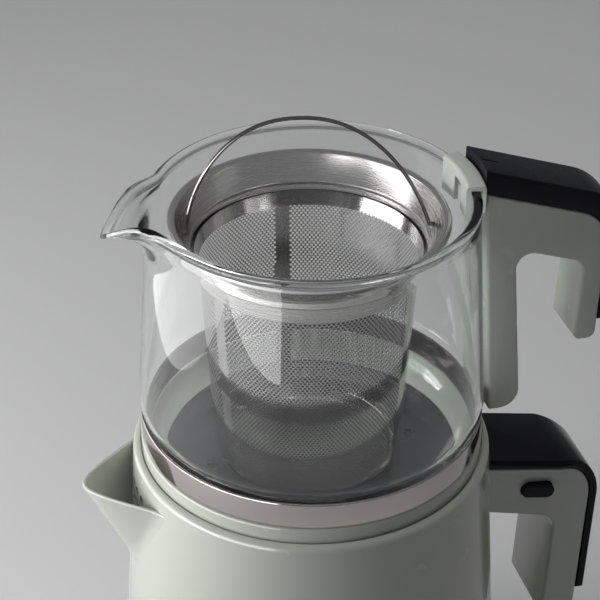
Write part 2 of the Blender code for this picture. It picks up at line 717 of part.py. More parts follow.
def base_connector(build):
    """The round contact block in the base's middle: a raised boss, a ring groove and a centre pin."""
    flange = CONNECTOR_RADIUS + CONNECTOR_FLANGE
    under = BASE_TOP - BASE_WALL - GAP
    top = BASE_TOP + CONNECTOR_RISE
    groove = PIN_RADIUS + RING_GROOVE
    outline = [(0, under - CONNECTOR_FLOOR), (flange, under - CONNECTOR_FLOOR), (flange, under),
               (CONNECTOR_RADIUS, under), (CONNECTOR_RADIUS, top), (groove, top), (groove, BASE_TOP),
               (PIN_RADIUS, BASE_TOP), (PIN_RADIUS, top + PIN_RISE), (0, top + PIN_RISE)]
    build.add("base_connector", turned_mesh("base_connector", outline, SMALL_STEPS),
              material("connector_grey", DARK_GREY, 0.5))


def control_panel(build, panel):
    """A gloss black plate let into the tongue, with holes for two buttons and a small pilot window."""
    plate = build.add("control_panel",
                      box_mesh("control_panel", (-PANEL_LENGTH / 2, -PANEL_HALF_WIDTH, -PANEL_THICKNESS),
                               (PANEL_LENGTH / 2, PANEL_HALF_WIDTH, 0), edge=PANEL_EDGE),
                      black_plastic(), panel)
    for side in (-1, 1):
        hole = build.add("panel_hole", cylinder_mesh("panel_hole", BUTTON_STEM_RADIUS + GAP, -OVERRUN
                                                     - PANEL_THICKNESS, OVERRUN,
                                                     centre=(0, side * BUTTON_SPACING)), parent=panel)
        cut(plate, hole)
    window = build.add("window_hole", cylinder_mesh("window_hole", WINDOW_RADIUS + GAP, -OVERRUN
                                                    - PANEL_THICKNESS, OVERRUN), parent=panel)
    cut(plate, window)
    lens = rounded([(0, -PANEL_THICKNESS, 0), (WINDOW_RADIUS, -PANEL_THICKNESS, 0),
                    (WINDOW_RADIUS, WINDOW_PROUD, WINDOW_PROUD), (0, WINDOW_PROUD, 0)], 2)
    build.add("pilot_window", turned_mesh("pilot_window", lens, SCREW_STEPS),
              material("amber_window", AMBER, 0.2), panel)


def panel_button(build, panel, name, side):
    """A round push button whose cap stands over the panel and whose stem runs through it."""
    frame = build.empty(name + "_axis", (0, side * BUTTON_SPACING, 0), parent=panel)
    under = BUTTON_UNDERCUT
    top = under + BUTTON_PROUD
    outline = rounded([(0, -BUTTON_STEM_LENGTH - PANEL_THICKNESS, 0),
                       (BUTTON_STEM_RADIUS, -BUTTON_STEM_LENGTH - PANEL_THICKNESS, 0),
                       (BUTTON_STEM_RADIUS, under, 0), (BUTTON_RADIUS, under, 0),
                       (BUTTON_RADIUS, top, BUTTON_EDGE), (0, top, 0)], 3)
    build.add(name, turned_mesh(name, outline, SMALL_STEPS), material("button_grey", STEEL, 0.35), frame)


def cord_gland(build):
    """The outlet that the mains lead would leave by, with its bore."""
    seat = -GAP - GLAND_SETBACK
    outline = rounded([(GLAND_BORE, seat - BASE_WALL, 0), (GLAND_RADIUS + BASE_WALL, seat - BASE_WALL, 0),
                       (GLAND_RADIUS + BASE_WALL, seat, 0), (GLAND_RADIUS, seat, 0),
                       (GLAND_RADIUS, GLAND_LENGTH, GLAND_EDGE), (GLAND_BORE, GLAND_LENGTH, 0)], 2)
    build.add("cord_gland", placed(turned_mesh("cord_gland", outline, SMALL_STEPS), gland_matrix()),
              material("rubber", RUBBER, 0.8))


def power_base(build):
    panel = panel_place(build)
    base_housing(build, panel)
    base_bottom_cover(build)
    base_feet(build)
    base_screws(build)
    base_connector(build)
    control_panel(build, panel)
    panel_button(build, panel, "boil_button", -1)
    panel_button(build, panel, "keep_warm_button", 1)
    cord_gland(build)


# Kettle

def nose_corner(run, half, tip):
    """How far out two sloping sides meet, for the round between them to end at the run."""
    corner = run
    for _ in range(TURN_STEPS):
        corner = run + tip * (math.hypot(corner, half) / half - 1)
    return corner


def beak_ring(depth_share, inset):
    """One level of the kettle spout's plan: its root inside the wall, its two edges and its round tip."""
    z = BEAK_TOP - BEAK_DEPTH * depth_share
    root = kettle_radius(z) * BEAK_ROOT_SHARE
    reach = BEAK_REACH + (kettle_radius(BEAK_TOP - BEAK_DEPTH) - BEAK_REACH) * depth_share - inset
    half = max(BEAK_HALF_WIDTH * (1 - BEAK_TAPER_SHARE * depth_share) - BEAK_SIDE_INSET * inset,
               BEAK_KEEL_HALF_WIDTH)
    shoulder = kettle_radius(z) * BEAK_SIDE_SHARE
    tip = min(BEAK_TIP_ROUND, half * BEAK_TIP_SHARE)
    corner = shoulder + nose_corner(reach - shoulder, half, tip)
    corners = [(-root, half, 0), (-shoulder, half, 0), (-corner, 0, tip), (-shoulder, -half, 0),
               (-root, -half, 0)]
    points = rounded(corners, 5)
    return [Vector((x, y, z)) for x, y in points]


def beak_mesh(name, inset, top, levels=7):
    """The spout's form from its open top down to where its keel runs out on the body."""
    rings = []
    for level in range(levels):
        share = (level / (levels - 1)) ** BEAK_LEVEL_POWER
        ring = beak_ring(share, inset)
        if inset:
            ring = [point + Vector((0, 0, inset * share)) for point in ring]
        rings.append(ring)
    if top:
        rings.insert(0, [point + Vector((0, 0, top)) for point in rings[0]])
    return loft_mesh(name, rings)


def kettle_inside(name):
    """Everything inside the kettle's wall: the water space, the mouth and the open underside."""
    ledge = HEATER_TOP - HEATER_THICKNESS - GAP
    low = kettle_radius(KETTLE_BOTTOM) - KETTLE_WALL
    at_ledge = kettle_radius(ledge) - KETTLE_WALL
    neck = MOUTH_SEAT - MOUTH_THICKNESS
    outline = [(0, KETTLE_BOTTOM - OVERRUN), (low, KETTLE_BOTTOM - OVERRUN), (low, KETTLE_BOTTOM),
               (at_ledge, ledge - HEATER_LEDGE), (at_ledge - HEATER_LEDGE, ledge - HEATER_LEDGE),
               (at_ledge - HEATER_LEDGE, ledge), (at_ledge, ledge),
               (kettle_radius(neck - SHOULDER_ROUND) - KETTLE_WALL, neck - SHOULDER_ROUND),
               (MOUTH_RADIUS, neck), (MOUTH_RADIUS, MOUTH_SEAT), (SHOULDER_RIM_RADIUS, MOUTH_SEAT),
               (SHOULDER_RIM_RADIUS, KETTLE_RIM + OVERRUN), (0, KETTLE_RIM + OVERRUN)]
    return turned_mesh(name, outline)


def pour_hole_places():
    """Angle and height of each hole between the kettle and its spout."""
    radius = kettle_radius(BEAK_TOP)
    places = []
    for row, count in enumerate(POUR_HOLE_ROWS):
        for column in range(count):
            angle = math.pi + (column - (count - 1) / 2) * POUR_HOLE_PITCH / radius
            places.append((angle, BEAK_TOP - POUR_HOLE_DROP - POUR_HOLE_PITCH * row))
    return places


def kettle_body(build):
    body = build.add("kettle_body", kettle_form("kettle_body"), paint())
    cut(body, build.add("beak_form", beak_mesh("beak_form", 0.0, 0.0)), "UNION")
    cut(body, build.add("kettle_inside", kettle_inside("kettle_inside")))
    hollow = build.add("beak_hollow", beak_mesh("beak_hollow", BEAK_WALL, OVERRUN))
    cut(hollow, build.add("kettle_outside", kettle_form("kettle_outside", GAP)))
    cut(body, hollow)
    holes = []
    for angle, z in pour_hole_places():
        drill = Matrix.Rotation(angle, 4, "Z") @ Matrix.Translation((0, 0, z)) @ Matrix.Rotation(
            math.pi / 2, 4, "Y")
        radius = kettle_radius(z)
        holes.append(placed(cylinder_mesh("pour_hole", POUR_HOLE_RADIUS, radius - KETTLE_WALL - OVERRUN,
                                          radius + OVERRUN, steps=HOLE_STEPS), drill))
    cut(body, build.add("pour_holes", joined_mesh("pour_holes", holes)))
    return body


def kettle_spout_filter(build):
    """A thin curved strainer clipped inside the wall behind the pour holes."""
    top = MOUTH_SEAT - MOUTH_THICKNESS - SHOULDER_ROUND - GAP
    bottom = top - FILTER_HEIGHT
    outer_top = kettle_radius(top) - KETTLE_WALL - 2 * GAP
    outer_bottom = kettle_radius(bottom) - KETTLE_WALL - 2 * GAP
    outline = [(outer_bottom - FILTER_THICKNESS, bottom), (outer_bottom, bottom), (outer_top, top),
               (outer_top - FILTER_THICKNESS, top)]
    strainer = sector_mesh("kettle_spout_filter", outline, FILTER_HALF_ANGLE, 6)
    strainer.transform(Matrix.Rotation(math.pi, 4, "Z"))
    piece = build.add("kettle_spout_filter", strainer, steel())
    slots = []
    for column in range(FILTER_SLOT_COUNT):
        share = (2 * column + 1) / FILTER_SLOT_COUNT - 1
        angle = math.pi + FILTER_HALF_ANGLE * FILTER_SLOTTED_SHARE * share
        low = (outer_top - OVERRUN * 2, -FILTER_SLOT / 2, bottom + 2 * FILTER_SLOT)
        high = (outer_bottom + OVERRUN, FILTER_SLOT / 2, top - 2 * FILTER_SLOT)
        slots.append(placed(box_mesh("filter_slot", low, high), Matrix.Rotation(angle, 4, "Z")))
    cut(piece, build.add("filter_slots", joined_mesh("filter_slots", slots)))


def heater(build):
    ledge = HEATER_TOP - HEATER_THICKNESS
    radius = kettle_radius(HEATER_TOP) - KETTLE_WALL - GAP
    plate = rounded([(0, ledge, 0), (radius, ledge, 0), (radius, HEATER_TOP, HEATER_EDGE),
                     (0, HEATER_TOP, 0)], 2)
    build.add("heating_plate", turned_mesh("heating_plate", plate), steel())
    level = ledge - GAP - ELEMENT_RADIUS
    route = [(x, y, level) for x, y in arc_points((0, 0), ELEMENT_CIRCLE, 0, ELEMENT_SWEEP, ELEMENT_STEPS)]
    build.add("heating_element", tube_mesh("heating_element", route, ELEMENT_RADIUS, sides=1), steel())
    top = ledge - GAP
    build.add("thermostat", cylinder_mesh("thermostat", THERMOSTAT_RADIUS, top - THERMOSTAT_HEIGHT, top),
              material("thermostat_white", WHITE_SEAL, 0.5))


def kettle_underside(build):
    bottom = KETTLE_BOTTOM + BOTTOM_COVER_RECESS
    top = bottom + BOTTOM_COVER_THICKNESS
    radius = kettle_radius(top) - KETTLE_WALL - 2 * GAP
    hole = SOCKET_RADIUS + GAP
    outline = [(hole, bottom), (radius, bottom), (radius, top), (hole, top)]
    cover = build.add("kettle_bottom_cover", turned_mesh("kettle_bottom_cover", outline), black_plastic())
    circle = (radius + hole) / 2
    bore = cylinder_mesh("kettle_screw_bore", SCREW_SHANK + GAP, bottom - OVERRUN, top + OVERRUN,
                         centre=(circle, 0), steps=SCREW_STEPS)
    seat = cylinder_mesh("kettle_screw_seat", SCREW_RADIUS + GAP, bottom - OVERRUN,
                         bottom + SCREW_HEAD + GAP, centre=(circle, 0), steps=SCREW_STEPS)
    for name, mesh in (("kettle_screw_bores", bore), ("kettle_screw_seats", seat)):
        cut(cover, build.add(name, joined_mesh(name, ring_of(mesh, KETTLE_SCREW_COUNT))))
    screw = placed(screw_mesh("kettle_screw", bottom, True), Matrix.Translation((circle, 0, 0)))
    build.add_ring("kettle_bottom_screw", screw, steel(), KETTLE_SCREW_COUNT)


def kettle_socket(build):
    """The round socket under the kettle that drops over the base's contact block."""
    inside = SOCKET_RADIUS - SOCKET_WALL
    roof = BASE_TOP + CONNECTOR_RISE + PIN_RISE + 2 * GAP
    well = BASE_TOP + CONNECTOR_RISE + 2 * GAP
    pin = PIN_RADIUS + 2 * GAP
    outline = [(0, roof + SOCKET_WALL), (0, roof), (pin, roof), (pin, well), (inside, well),
               (inside, KETTLE_BOTTOM), (SOCKET_RADIUS, KETTLE_BOTTOM), (SOCKET_RADIUS, well + SOCKET_WALL),
               (pin + SOCKET_WALL, well + SOCKET_WALL), (pin + SOCKET_WALL, roof + SOCKET_WALL)]
    build.add("kettle_socket", turned_mesh("kettle_socket", outline, SMALL_STEPS),
              material("connector_grey", DARK_GREY, 0.5))


def arm_top_corners():
    """The kettle arm's painted top, from inside the body, over the outer corner and down the grip."""
    start = kettle_radius(KETTLE_BOTTOM + ARM_TOP) - ARM_COVER_THICKNESS * 2
    outer = GRIP_INNER + GRIP_THICKNESS
    body = kettle_radius(KETTLE_BOTTOM + ARM_TOP)
    level = KETTLE_BOTTOM + ARM_TOP - ARM_COVER_THICKNESS
    fall = math.tan(ARM_SLOPE)
    return [(start, level + (body - start) * fall, 0), (outer, level - (outer - body) * fall, GRIP_CORNER),
            (outer - GRIP_LEAN, KETTLE_BOTTOM + GRIP_BOTTOM, GRIP_FOOT_ROUND)]


def arm_outline():
    """The arm and grip seen from the side: open below, like a hook."""
    top = arm_top_corners()
    start = top[0][0]
    under = top[0][1] - ARM_DEPTH
    fall = math.tan(ARM_UNDER_SLOPE)
    inner = GRIP_INNER
    return rounded(top + [(inner - GRIP_LEAN, KETTLE_BOTTOM + GRIP_BOTTOM, GRIP_FOOT_ROUND),
                          (inner, under - (inner - start) * fall, GRIP_INNER_ROUND), (start, under, 0)], 5)


def cover_outline(corners, thickness):
    """A strip of even thickness that lies on a handle's painted top and ends above the grip's foot."""
    line = [(x, z, 0) for x, z in rounded(corners[:2] + [(*corners[2][:2], 0)], 5)]
    path = [point[:2] for point in line]
    last, before = Vector(path[-1]), Vector(path[-2])
    path[-1] = tuple(last + (before - last) * COVER_END_SHARE)
    return offset_path(path, GAP) + offset_path(path, GAP + thickness)[::-1]


def narrow_grip(mesh, wide, slim, start, end):
    """Taper a handle's width between two distances from the kettle's axis."""
    for vertex in mesh.vertices:
        share = min(max((vertex.co.x - start) / (end - start), 0.0), 1.0)
        share = share * share * (3 - 2 * share)
        vertex.co.y *= 1 + (slim / wide - 1) * share
    mesh.update()


def side_button_form(name, grow, inner, outer):
    """A capsule-ended bar lying along the arm's side, from one depth to another."""
    radius = SIDE_BUTTON_HEIGHT / 2 + grow
    body = kettle_radius(KETTLE_BOTTOM + ARM_TOP)
    centre_x = SIDE_BUTTON_START + SIDE_BUTTON_LENGTH / 2
    centre_z = (KETTLE_BOTTOM + ARM_TOP - ARM_COVER_THICKNESS - SIDE_BUTTON_DROP
                - (centre_x - body) * math.tan(ARM_SLOPE))
    half = SIDE_BUTTON_LENGTH / 2 - SIDE_BUTTON_HEIGHT / 2
    outline = arc_points((half, 0), radius, -math.pi / 2, math.pi / 2, 6) + arc_points(
        (-half, 0), radius, math.pi / 2, math.pi * 1.5, 6)
    mesh = prism_mesh(name, outline, (outer - inner) / 2)
    mesh.transform(Matrix.Translation((centre_x, -(inner + outer) / 2, centre_z)) @ Matrix.Rotation(
        ARM_SLOPE, 4, "Y"))
    return mesh


def kettle_handle(build):
    """Painted arm and grip, its black top cover and the small button in its side."""
    mesh = prism_mesh("kettle_handle", arm_outline(), ARM_HALF_WIDTH, edge=HANDLE_EDGE)
    start, end = KETTLE_TOP_RADIUS + SIDE_BUTTON_LENGTH * 2, GRIP_INNER + GRIP_THICKNESS
    narrow_grip(mesh, ARM_HALF_WIDTH, GRIP_HALF_WIDTH, start, end)
    handle = build.add("kettle_handle", mesh, paint())
    clearance = build.add("kettle_clearance", kettle_form("kettle_clearance", GAP))
    cut(handle, clearance)
    outline = cover_outline(arm_top_corners(), ARM_COVER_THICKNESS)
    cover_mesh = prism_mesh("kettle_handle_cover", outline, ARM_HALF_WIDTH, edge=HANDLE_EDGE)
    narrow_grip(cover_mesh, ARM_HALF_WIDTH, GRIP_HALF_WIDTH, start, end)
    cover = build.add("kettle_handle_cover", cover_mesh, black_plastic())
    cut(cover, clearance)
    pocket = build.add("side_button_pocket", side_button_form(
        "side_button_pocket", GAP, ARM_HALF_WIDTH - SIDE_BUTTON_DEPTH - SIDE_BUTTON_TRAVEL - GAP,
        ARM_HALF_WIDTH + OVERRUN))
    cut(handle, pocket)
    button = side_button_form("kettle_side_button", 0.0, ARM_HALF_WIDTH - SIDE_BUTTON_DEPTH,
                              ARM_HALF_WIDTH + SIDE_BUTTON_PROUD)
    build.add("kettle_side_button", button, black_plastic())


def kettle(build):
    kettle_body(build)
    kettle_spout_filter(build)
    heater(build)
    kettle_underside(build)
    kettle_socket(build)
    kettle_handle(build)


# Kettle lid

def heel_arc(radius, start, end, parts=3):
    """Part of the glass heel's arc, or of one parallel to it, by angle below the horizontal."""
    centre = (GLASS_BOTTOM_RADIUS - GLASS_HEEL, GLASS_FOOT + GLASS_HEEL)
    return arc_points(centre, radius, -start, -end, parts)


def seat_angle(radius):
    """How far below the horizontal the lid's seat for the glass heel has a radius."""
    return math.acos((radius - GLASS_BOTTOM_RADIUS + GLASS_HEEL) / (GLASS_HEEL + GAP))


def kettle_lid(build):
    """The painted ring that carries the teapot, its dark dished plate with steam vents, and its seal."""
    seat = GLASS_HEEL + GAP
    start = math.asin((GLASS_FOOT + GLASS_HEEL - LID_TOP) / seat)
    bowl = heel_arc(seat, start, seat_angle(LID_PLATE_RADIUS), 4)
    plug_bottom = LID_BOTTOM - LID_PLUG_DEPTH
    plate_top = GLASS_FOOT - GAP
    plate_bottom = plate_top - LID_PLATE_THICKNESS
    ledge = plate_bottom - GAP
    outer = rounded([(LID_RING_RADIUS, LID_BOTTOM, LID_LOWER_EDGE),
                     (LID_RING_RADIUS, LID_TOP, LID_UPPER_EDGE),
                     (*bowl[0], 0), (LID_PLATE_RADIUS, LID_BOTTOM, 0)], 2)[:-2]
    lip = LID_PLATE_RADIUS - LID_PLUG_WALL
    skirt = LID_PLUG_RADIUS - LID_PLUG_WALL
    inner = [(LID_PLATE_RADIUS, ledge), (lip, ledge), (lip, ledge - LID_PLUG_WALL),
             (skirt, ledge - LID_PLUG_WALL), (skirt, plug_bottom), (LID_PLUG_RADIUS, plug_bottom),
             (LID_PLUG_RADIUS, LID_BOTTOM)]
    build.add("kettle_lid_ring", turned_mesh("kettle_lid_ring", outer + bowl + inner), paint())
    radius = LID_PLATE_RADIUS - GAP
    dish = heel_arc(seat, seat_angle(radius), math.pi / 2, 4)
    plate_outline = [(0, plate_bottom), (radius, plate_bottom)] + dish + [(0, plate_top)]
    plate = build.add("kettle_lid_plate", turned_mesh("kettle_lid_plate", plate_outline),
                      material("dark_plate", DARK_GREY, 0.35, metallic=0.6))
    vent = cylinder_mesh("vent", VENT_RADIUS, plate_bottom - OVERRUN, plate_top + OVERRUN,
                         centre=(VENT_CIRCLE, 0), steps=HOLE_STEPS)
    cut(plate, build.add("steam_vents", joined_mesh("steam_vents", ring_of(vent, VENT_COUNT))))
    seal_level = MOUTH_SEAT - MOUTH_THICKNESS / 2
    half = LID_SEAL_RADIUS
    seal = [(LID_PLUG_RADIUS + GAP, seal_level - half), (MOUTH_RADIUS - GAP, seal_level - half / 2),
            (MOUTH_RADIUS - GAP, seal_level + half / 2), (LID_PLUG_RADIUS + GAP, seal_level + half)]
    build.add("kettle_lid_seal", turned_mesh("kettle_lid_seal", seal), material("seal", WHITE_SEAL, 0.6))


# Teapot

def glass_outline():
    """The glass wall's closed section, from the heel up the outside, over the bead and down the inside."""
    foot = heel_arc(GLASS_HEEL, math.pi / 2, 0, 6)
    neck = RIM_LEVEL - NECK_DROP
    low = RIM_LEVEL - LIP_DEPTH
    levels = [low + (neck - low) * share for share in (0, 1 / 3, 2 / 3, 1)]
    wall = [(GLASS_BOTTOM_RADIUS, BAND_TOP), (BELLY_RADIUS, BELLY_LEVEL)]
    wall += [(glass_radius(z), z) for z in levels]
    bead = arc_points((RIM_RADIUS, RIM_LEVEL), RIM_BEAD, -math.pi / 3, math.pi * 4 / 3, 6)
    inside = [(radius - GLASS_WALL, z) for radius, z in reversed(wall)]
    inner_heel = GLASS_HEEL - GLASS_WALL
    floor = arc_points((GLASS_BOTTOM_RADIUS - GLASS_HEEL, GLASS_FLOOR_TOP + inner_heel), inner_heel,
                       0, -math.pi / 2, 5)
    return [(0, GLASS_FOOT)] + foot + wall + bead + inside + floor + [(0, GLASS_FLOOR_TOP)]


def teapot_glass(build):
    mesh = turned_mesh("teapot_glass", glass_outline(), TURN_STEPS)
    for vertex in mesh.vertices:
        x, y, z = vertex.co
        out, up = lip_pull(x, y, z)
        if out or up:
            stretch = 1 + out / math.hypot(x, y)
            vertex.co = Vector((x * stretch, y * stretch * (1 - out / LIP_REACH * LIP_PINCH_SHARE), z + up))
    mesh.update()
    build.add("teapot_glass", mesh, material("clear_glass", GLASS, 0.02, transmission=1.0))


def band_outline():
    inner = GLASS_BOTTOM_RADIUS + GAP
    bottom = GLASS_FOOT + BAND_BOTTOM
    return rounded([(inner, bottom, 0), (inner + BAND_THICKNESS, bottom, BAND_EDGE),
                    (inner + BAND_THICKNESS, BAND_TOP, BAND_EDGE), (inner, BAND_TOP, 0)], 2)


def teapot_band(build):
    """The polished band round the glass, with the tab that the handle's foot is screwed to."""
    band = build.add("teapot_band", turned_mesh("teapot_band", band_outline()), steel())
    outer = GLASS_BOTTOM_RADIUS + GAP + BAND_THICKNESS
    level = BAND_TOP - BAND_WIDTH / 2
    reach = leg_inner(level + BRACKET_HEIGHT / 2) - GAP
    tab = build.add("band_tab", box_mesh(
        "band_tab", (outer - BAND_THICKNESS / 2, -BRACKET_HALF_WIDTH, level - BRACKET_HEIGHT / 2),
        (reach, BRACKET_HALF_WIDTH, level + BRACKET_HEIGHT / 2)))
    cut(band, tab, "UNION")


def leg_inner(z):
    """The inner face of the handle's leg: it leans out a little more than the glass."""
    low = GLASS_FOOT + POT_LEG_FOOT
    share = (z - low) / (RIM_LEVEL - CLIP_OUTER_LEG - low)
    return POT_LEG_BOTTOM + (POT_LEG_TOP - POT_LEG_BOTTOM) * share


def pot_top_corners():
    """The painted top of the teapot's handle, under its black cover."""
    start = POT_LEG_TOP
    outer = POT_GRIP_INNER + POT_GRIP_THICKNESS
    fall = math.tan(POT_ARM_SLOPE)
    return [(start, POT_ARM_LEVEL, 0), (outer, POT_ARM_LEVEL - (outer - start) * fall, POT_CORNER),
            (outer - POT_GRIP_LEAN, GLASS_FOOT + POT_GRIP_BOTTOM, POT_GRIP_ROUND)]


def pot_handle_outline():
    """The handle from the side: a leg beside the glass, an arm over the fingers and a hanging grip."""
    fall = math.tan(POT_ARM_SLOPE)
    foot = GLASS_FOOT + POT_LEG_FOOT
    leg_outer_top = POT_LEG_TOP + POT_LEG_THICKNESS
    under = POT_ARM_LEVEL - POT_ARM_DEPTH
    inner = POT_GRIP_INNER
    return rounded(pot_top_corners() + [
        (inner - POT_GRIP_LEAN, GLASS_FOOT + POT_GRIP_BOTTOM, POT_GRIP_ROUND),
        (inner, under - (inner - POT_LEG_TOP) * fall, POT_GAP_ROUND),
        (leg_outer_top, under - POT_LEG_THICKNESS * fall, POT_GAP_ROUND),
        (POT_LEG_BOTTOM + POT_LEG_THICKNESS, foot, POT_LEG_ROUND), (POT_LEG_BOTTOM, foot, HANDLE_EDGE),
        (POT_LEG_TOP, RIM_LEVEL - CLIP_OUTER_LEG, 0)], 5)


def teapot_handle(build):
    handle = build.add("teapot_handle", prism_mesh("teapot_handle", pot_handle_outline(),
                                                   POT_HANDLE_HALF_WIDTH, edge=HANDLE_EDGE), paint())
    (start, top, _), *rest = pot_top_corners()
    inward = (start - POT_COVER_REACH, top + POT_COVER_REACH * math.tan(POT_ARM_SLOPE), 0)
    outline = cover_outline([inward, *rest], POT_COVER_THICKNESS)
    cover = build.add("teapot_handle_cover", prism_mesh("teapot_handle_cover", outline,
                                                        POT_HANDLE_HALF_WIDTH, edge=HANDLE_EDGE),
                      material("satin_black", BLACK, 0.35))
    room = cylinder_mesh("clip_room", POT_LEG_TOP, RIM_LEVEL - CLIP_LEG, CLIP_TOP + POT_COVER_THICKNESS,
                         steps=2 * TURN_STEPS)
    cut(cover, build.add("clip_room", room))
    lean = Matrix.Rotation(POT_ARM_SLOPE, 4, "Y")
    inner_end = SLIT_START - POT_COVER_THICKNESS * math.tan(POT_ARM_SLOPE)
    slit = box_mesh("cover_slit", (inner_end, -SLIT_WIDTH / 2, POT_COVER_THICKNESS - SLIT_DEPTH),
                    (inner_end + SLIT_LENGTH, SLIT_WIDTH / 2, POT_COVER_THICKNESS + OVERRUN))
    slit.transform(Matrix.Translation((POT_LEG_TOP, 0, POT_ARM_LEVEL)) @ lean)
    cut(cover, build.add("cover_slit", slit))
    level = BAND_TOP - BAND_WIDTH / 2
    outer = leg_inner(level) + POT_LEG_THICKNESS
    screw = screw_mesh("handle_screw", 0, False)
    place = Matrix.Translation((outer + GAP + SCREW_HEAD, 0, level)) @ Matrix.Rotation(math.pi / 2, 4, "Y")
    screw.transform(place)
    bore = placed(cylinder_mesh("handle_screw_bore", SCREW_SHANK + GAP, -SCREW_LENGTH - GAP,
                                OVERRUN, steps=SCREW_STEPS), place)
    cut(handle, build.add("handle_screw_bore", bore))
    build.add("teapot_handle_screw", screw, steel())


def rim_clip(build):
    """The saddle that hooks the handle over the glass rim, with two short legs inside the glass."""
    inside = RIM_RADIUS - RIM_BEAD - GAP
    outside = RIM_RADIUS + RIM_BEAD + GAP
    top = RIM_LEVEL + RIM_BEAD + GAP
    outer_face = POT_LEG_TOP - GAP
    outline = rounded([(inside, RIM_LEVEL - CLIP_LEG, 0), (inside, top, 0), (outside, top, 0),
                       (outside, RIM_LEVEL - CLIP_OUTER_LEG, 0), (outer_face, RIM_LEVEL - CLIP_OUTER_LEG, 0),
                       (outer_face, CLIP_TOP, CLIP_EDGE), (inside - CLIP_WALL, CLIP_TOP, CLIP_EDGE),
                       (inside - CLIP_WALL, RIM_LEVEL - CLIP_LEG, 0)], 3)
    clip = build.add("teapot_rim_clip", sector_mesh("teapot_rim_clip", outline, CLIP_HALF_ANGLE, 8), paint())
    notch_outline = [(inside - CLIP_WALL - OVERRUN, RIM_LEVEL - CLIP_LEG - OVERRUN),
                     (inside + GAP / 2, RIM_LEVEL - CLIP_LEG - OVERRUN), (inside + GAP / 2, RIM_LEVEL),
                     (inside - CLIP_WALL - OVERRUN, RIM_LEVEL)]
    cut(clip, build.add("clip_notch", sector_mesh("clip_notch", notch_outline, CLIP_NOTCH_HALF_ANGLE, 2)))


def teapot(build):
    teapot_glass(build)
    teapot_band(build)
    teapot_handle(build)
    rim_clip(build)


# Infuser

def flange_wall_points():
    """The funnel's upper face from the rolled edge down to the collar's foot."""
    edge = FLANGE_RADIUS - FLANGE_BEAD
    low = FLANGE_LEVEL - CONE_DEPTH
    return [(edge - FLANGE_BEAD, FLANGE_LEVEL), (COLLAR_RADIUS, low), (COLLAR_RADIUS, low - COLLAR_DEPTH)]


def flange_outline():
    upper = flange_wall_points()
    bead = arc_points((FLANGE_RADIUS - FLANGE_BEAD, FLANGE_LEVEL), FLANGE_BEAD, math.pi, ROLL_END, 7)
    lower = [Vector(point) for point in offset_path(upper, FLANGE_WALL)]
    lower[0] += (lower[1] - lower[0]) * ROLL_JOIN_SHARE
    return upper[::-1] + bead[1:] + [tuple(point) for point in lower]


def pivot_level():
    return FLANGE_LEVEL - BAIL_PIVOT_DROP


def infuser_flange(build, frame):
    flange = build.add("infuser_flange", turned_mesh("infuser_flange", flange_outline(), INFUSER_STEPS),
                       steel(), frame)
    holes = [placed(cylinder_mesh("bail_hole", BAIL_WIRE + GAP, COLLAR_RADIUS - OVERRUN,
                                  FLANGE_RADIUS - 2 * FLANGE_BEAD, steps=HOLE_STEPS),
                    Matrix.Rotation(turn, 4, "Z") @ Matrix.Translation((0, 0, pivot_level()))
                    @ Matrix.Rotation(math.pi / 2, 4, "Y")) for turn in (0, math.pi)]
    cut(flange, build.add("bail_holes", joined_mesh("bail_holes", holes), parent=frame))


def basket_radius(z):
    """The basket's outer radius, which narrows towards its foot."""
    top = FLANGE_LEVEL - CONE_DEPTH
    low = GLASS_FLOOR_TOP + GAP
    share = (top - z) / (top - low)
    return (COLLAR_RADIUS - GAP) + (BASKET_FOOT_RADIUS - COLLAR_RADIUS + GAP) * share


def infuser_basket(build, frame):
    """The tapered basket wall, welded inside the collar, and the cup that closes it."""
    top = FLANGE_LEVEL - CONE_DEPTH + FLANGE_WALL
    low = GLASS_FLOOR_TOP + GAP + BASKET_CORNER
    wall = [(basket_radius(low), low), (basket_radius(top), top), (basket_radius(top) - BASKET_WALL, top),
            (basket_radius(low) - BASKET_WALL, low)]
    build.add("infuser_basket", turned_mesh("infuser_basket", wall, INFUSER_STEPS), steel(), frame)
    floor = GLASS_FLOOR_TOP + GAP
    rim = floor + BASKET_CUP
    outer_rim = basket_radius(rim) - BASKET_WALL - GAP
    outer = rounded([(0, floor, 0), (outer_rim - GAP, floor, BASKET_CORNER), (outer_rim, rim, 0)], 3)[:-1]
    inner = rounded([(outer_rim - BASKET_WALL, rim, 0),
                     (outer_rim - GAP - BASKET_WALL, floor + BASKET_WALL, BASKET_CORNER - BASKET_WALL),
                     (0, floor + BASKET_WALL, 0)], 3)
    cup = turned_mesh("infuser_floor", outer + [(outer_rim, rim)] + inner, INFUSER_STEPS)
    build.add("infuser_floor", cup, steel(), frame)


def infuser_bail(build, frame):
    """The hoop handle: its two feet run out through the funnel and it swings about them."""
    pivot = build.empty("bail_axis", (0, 0, pivot_level()), parent=frame)
    outer = FLANGE_RADIUS - 2 * FLANGE_BEAD - BAIL_END
    across, upwards = BAIL_POWERS
    route = [(outer, 0, 0)]
    for step in range(BAIL_POINTS):
        angle = math.pi * step / (BAIL_POINTS - 1)
        spread = math.copysign(abs(math.cos(angle)) ** across, math.cos(angle))
        route.append((BAIL_SPAN * spread, 0, BAIL_HEIGHT * math.sin(angle) ** upwards))
    route.append((-outer, 0, 0))
    build.add("infuser_bail", tube_mesh("infuser_bail", route, BAIL_WIRE), steel(), pivot)


def infuser(build):
    frame = build.empty("infuser_frame", (0, 0, 0), (0, 0, INFUSER_TURN))
    infuser_flange(build, frame)
    infuser_basket(build, frame)
    infuser_bail(build, frame)


def main():
    clear_scene()
    build = Build()
    power_base(build)
    kettle(build)
    kettle_lid(build)
    teapot(build)
    infuser(build)
    bpy.context.view_layer.update()


main()
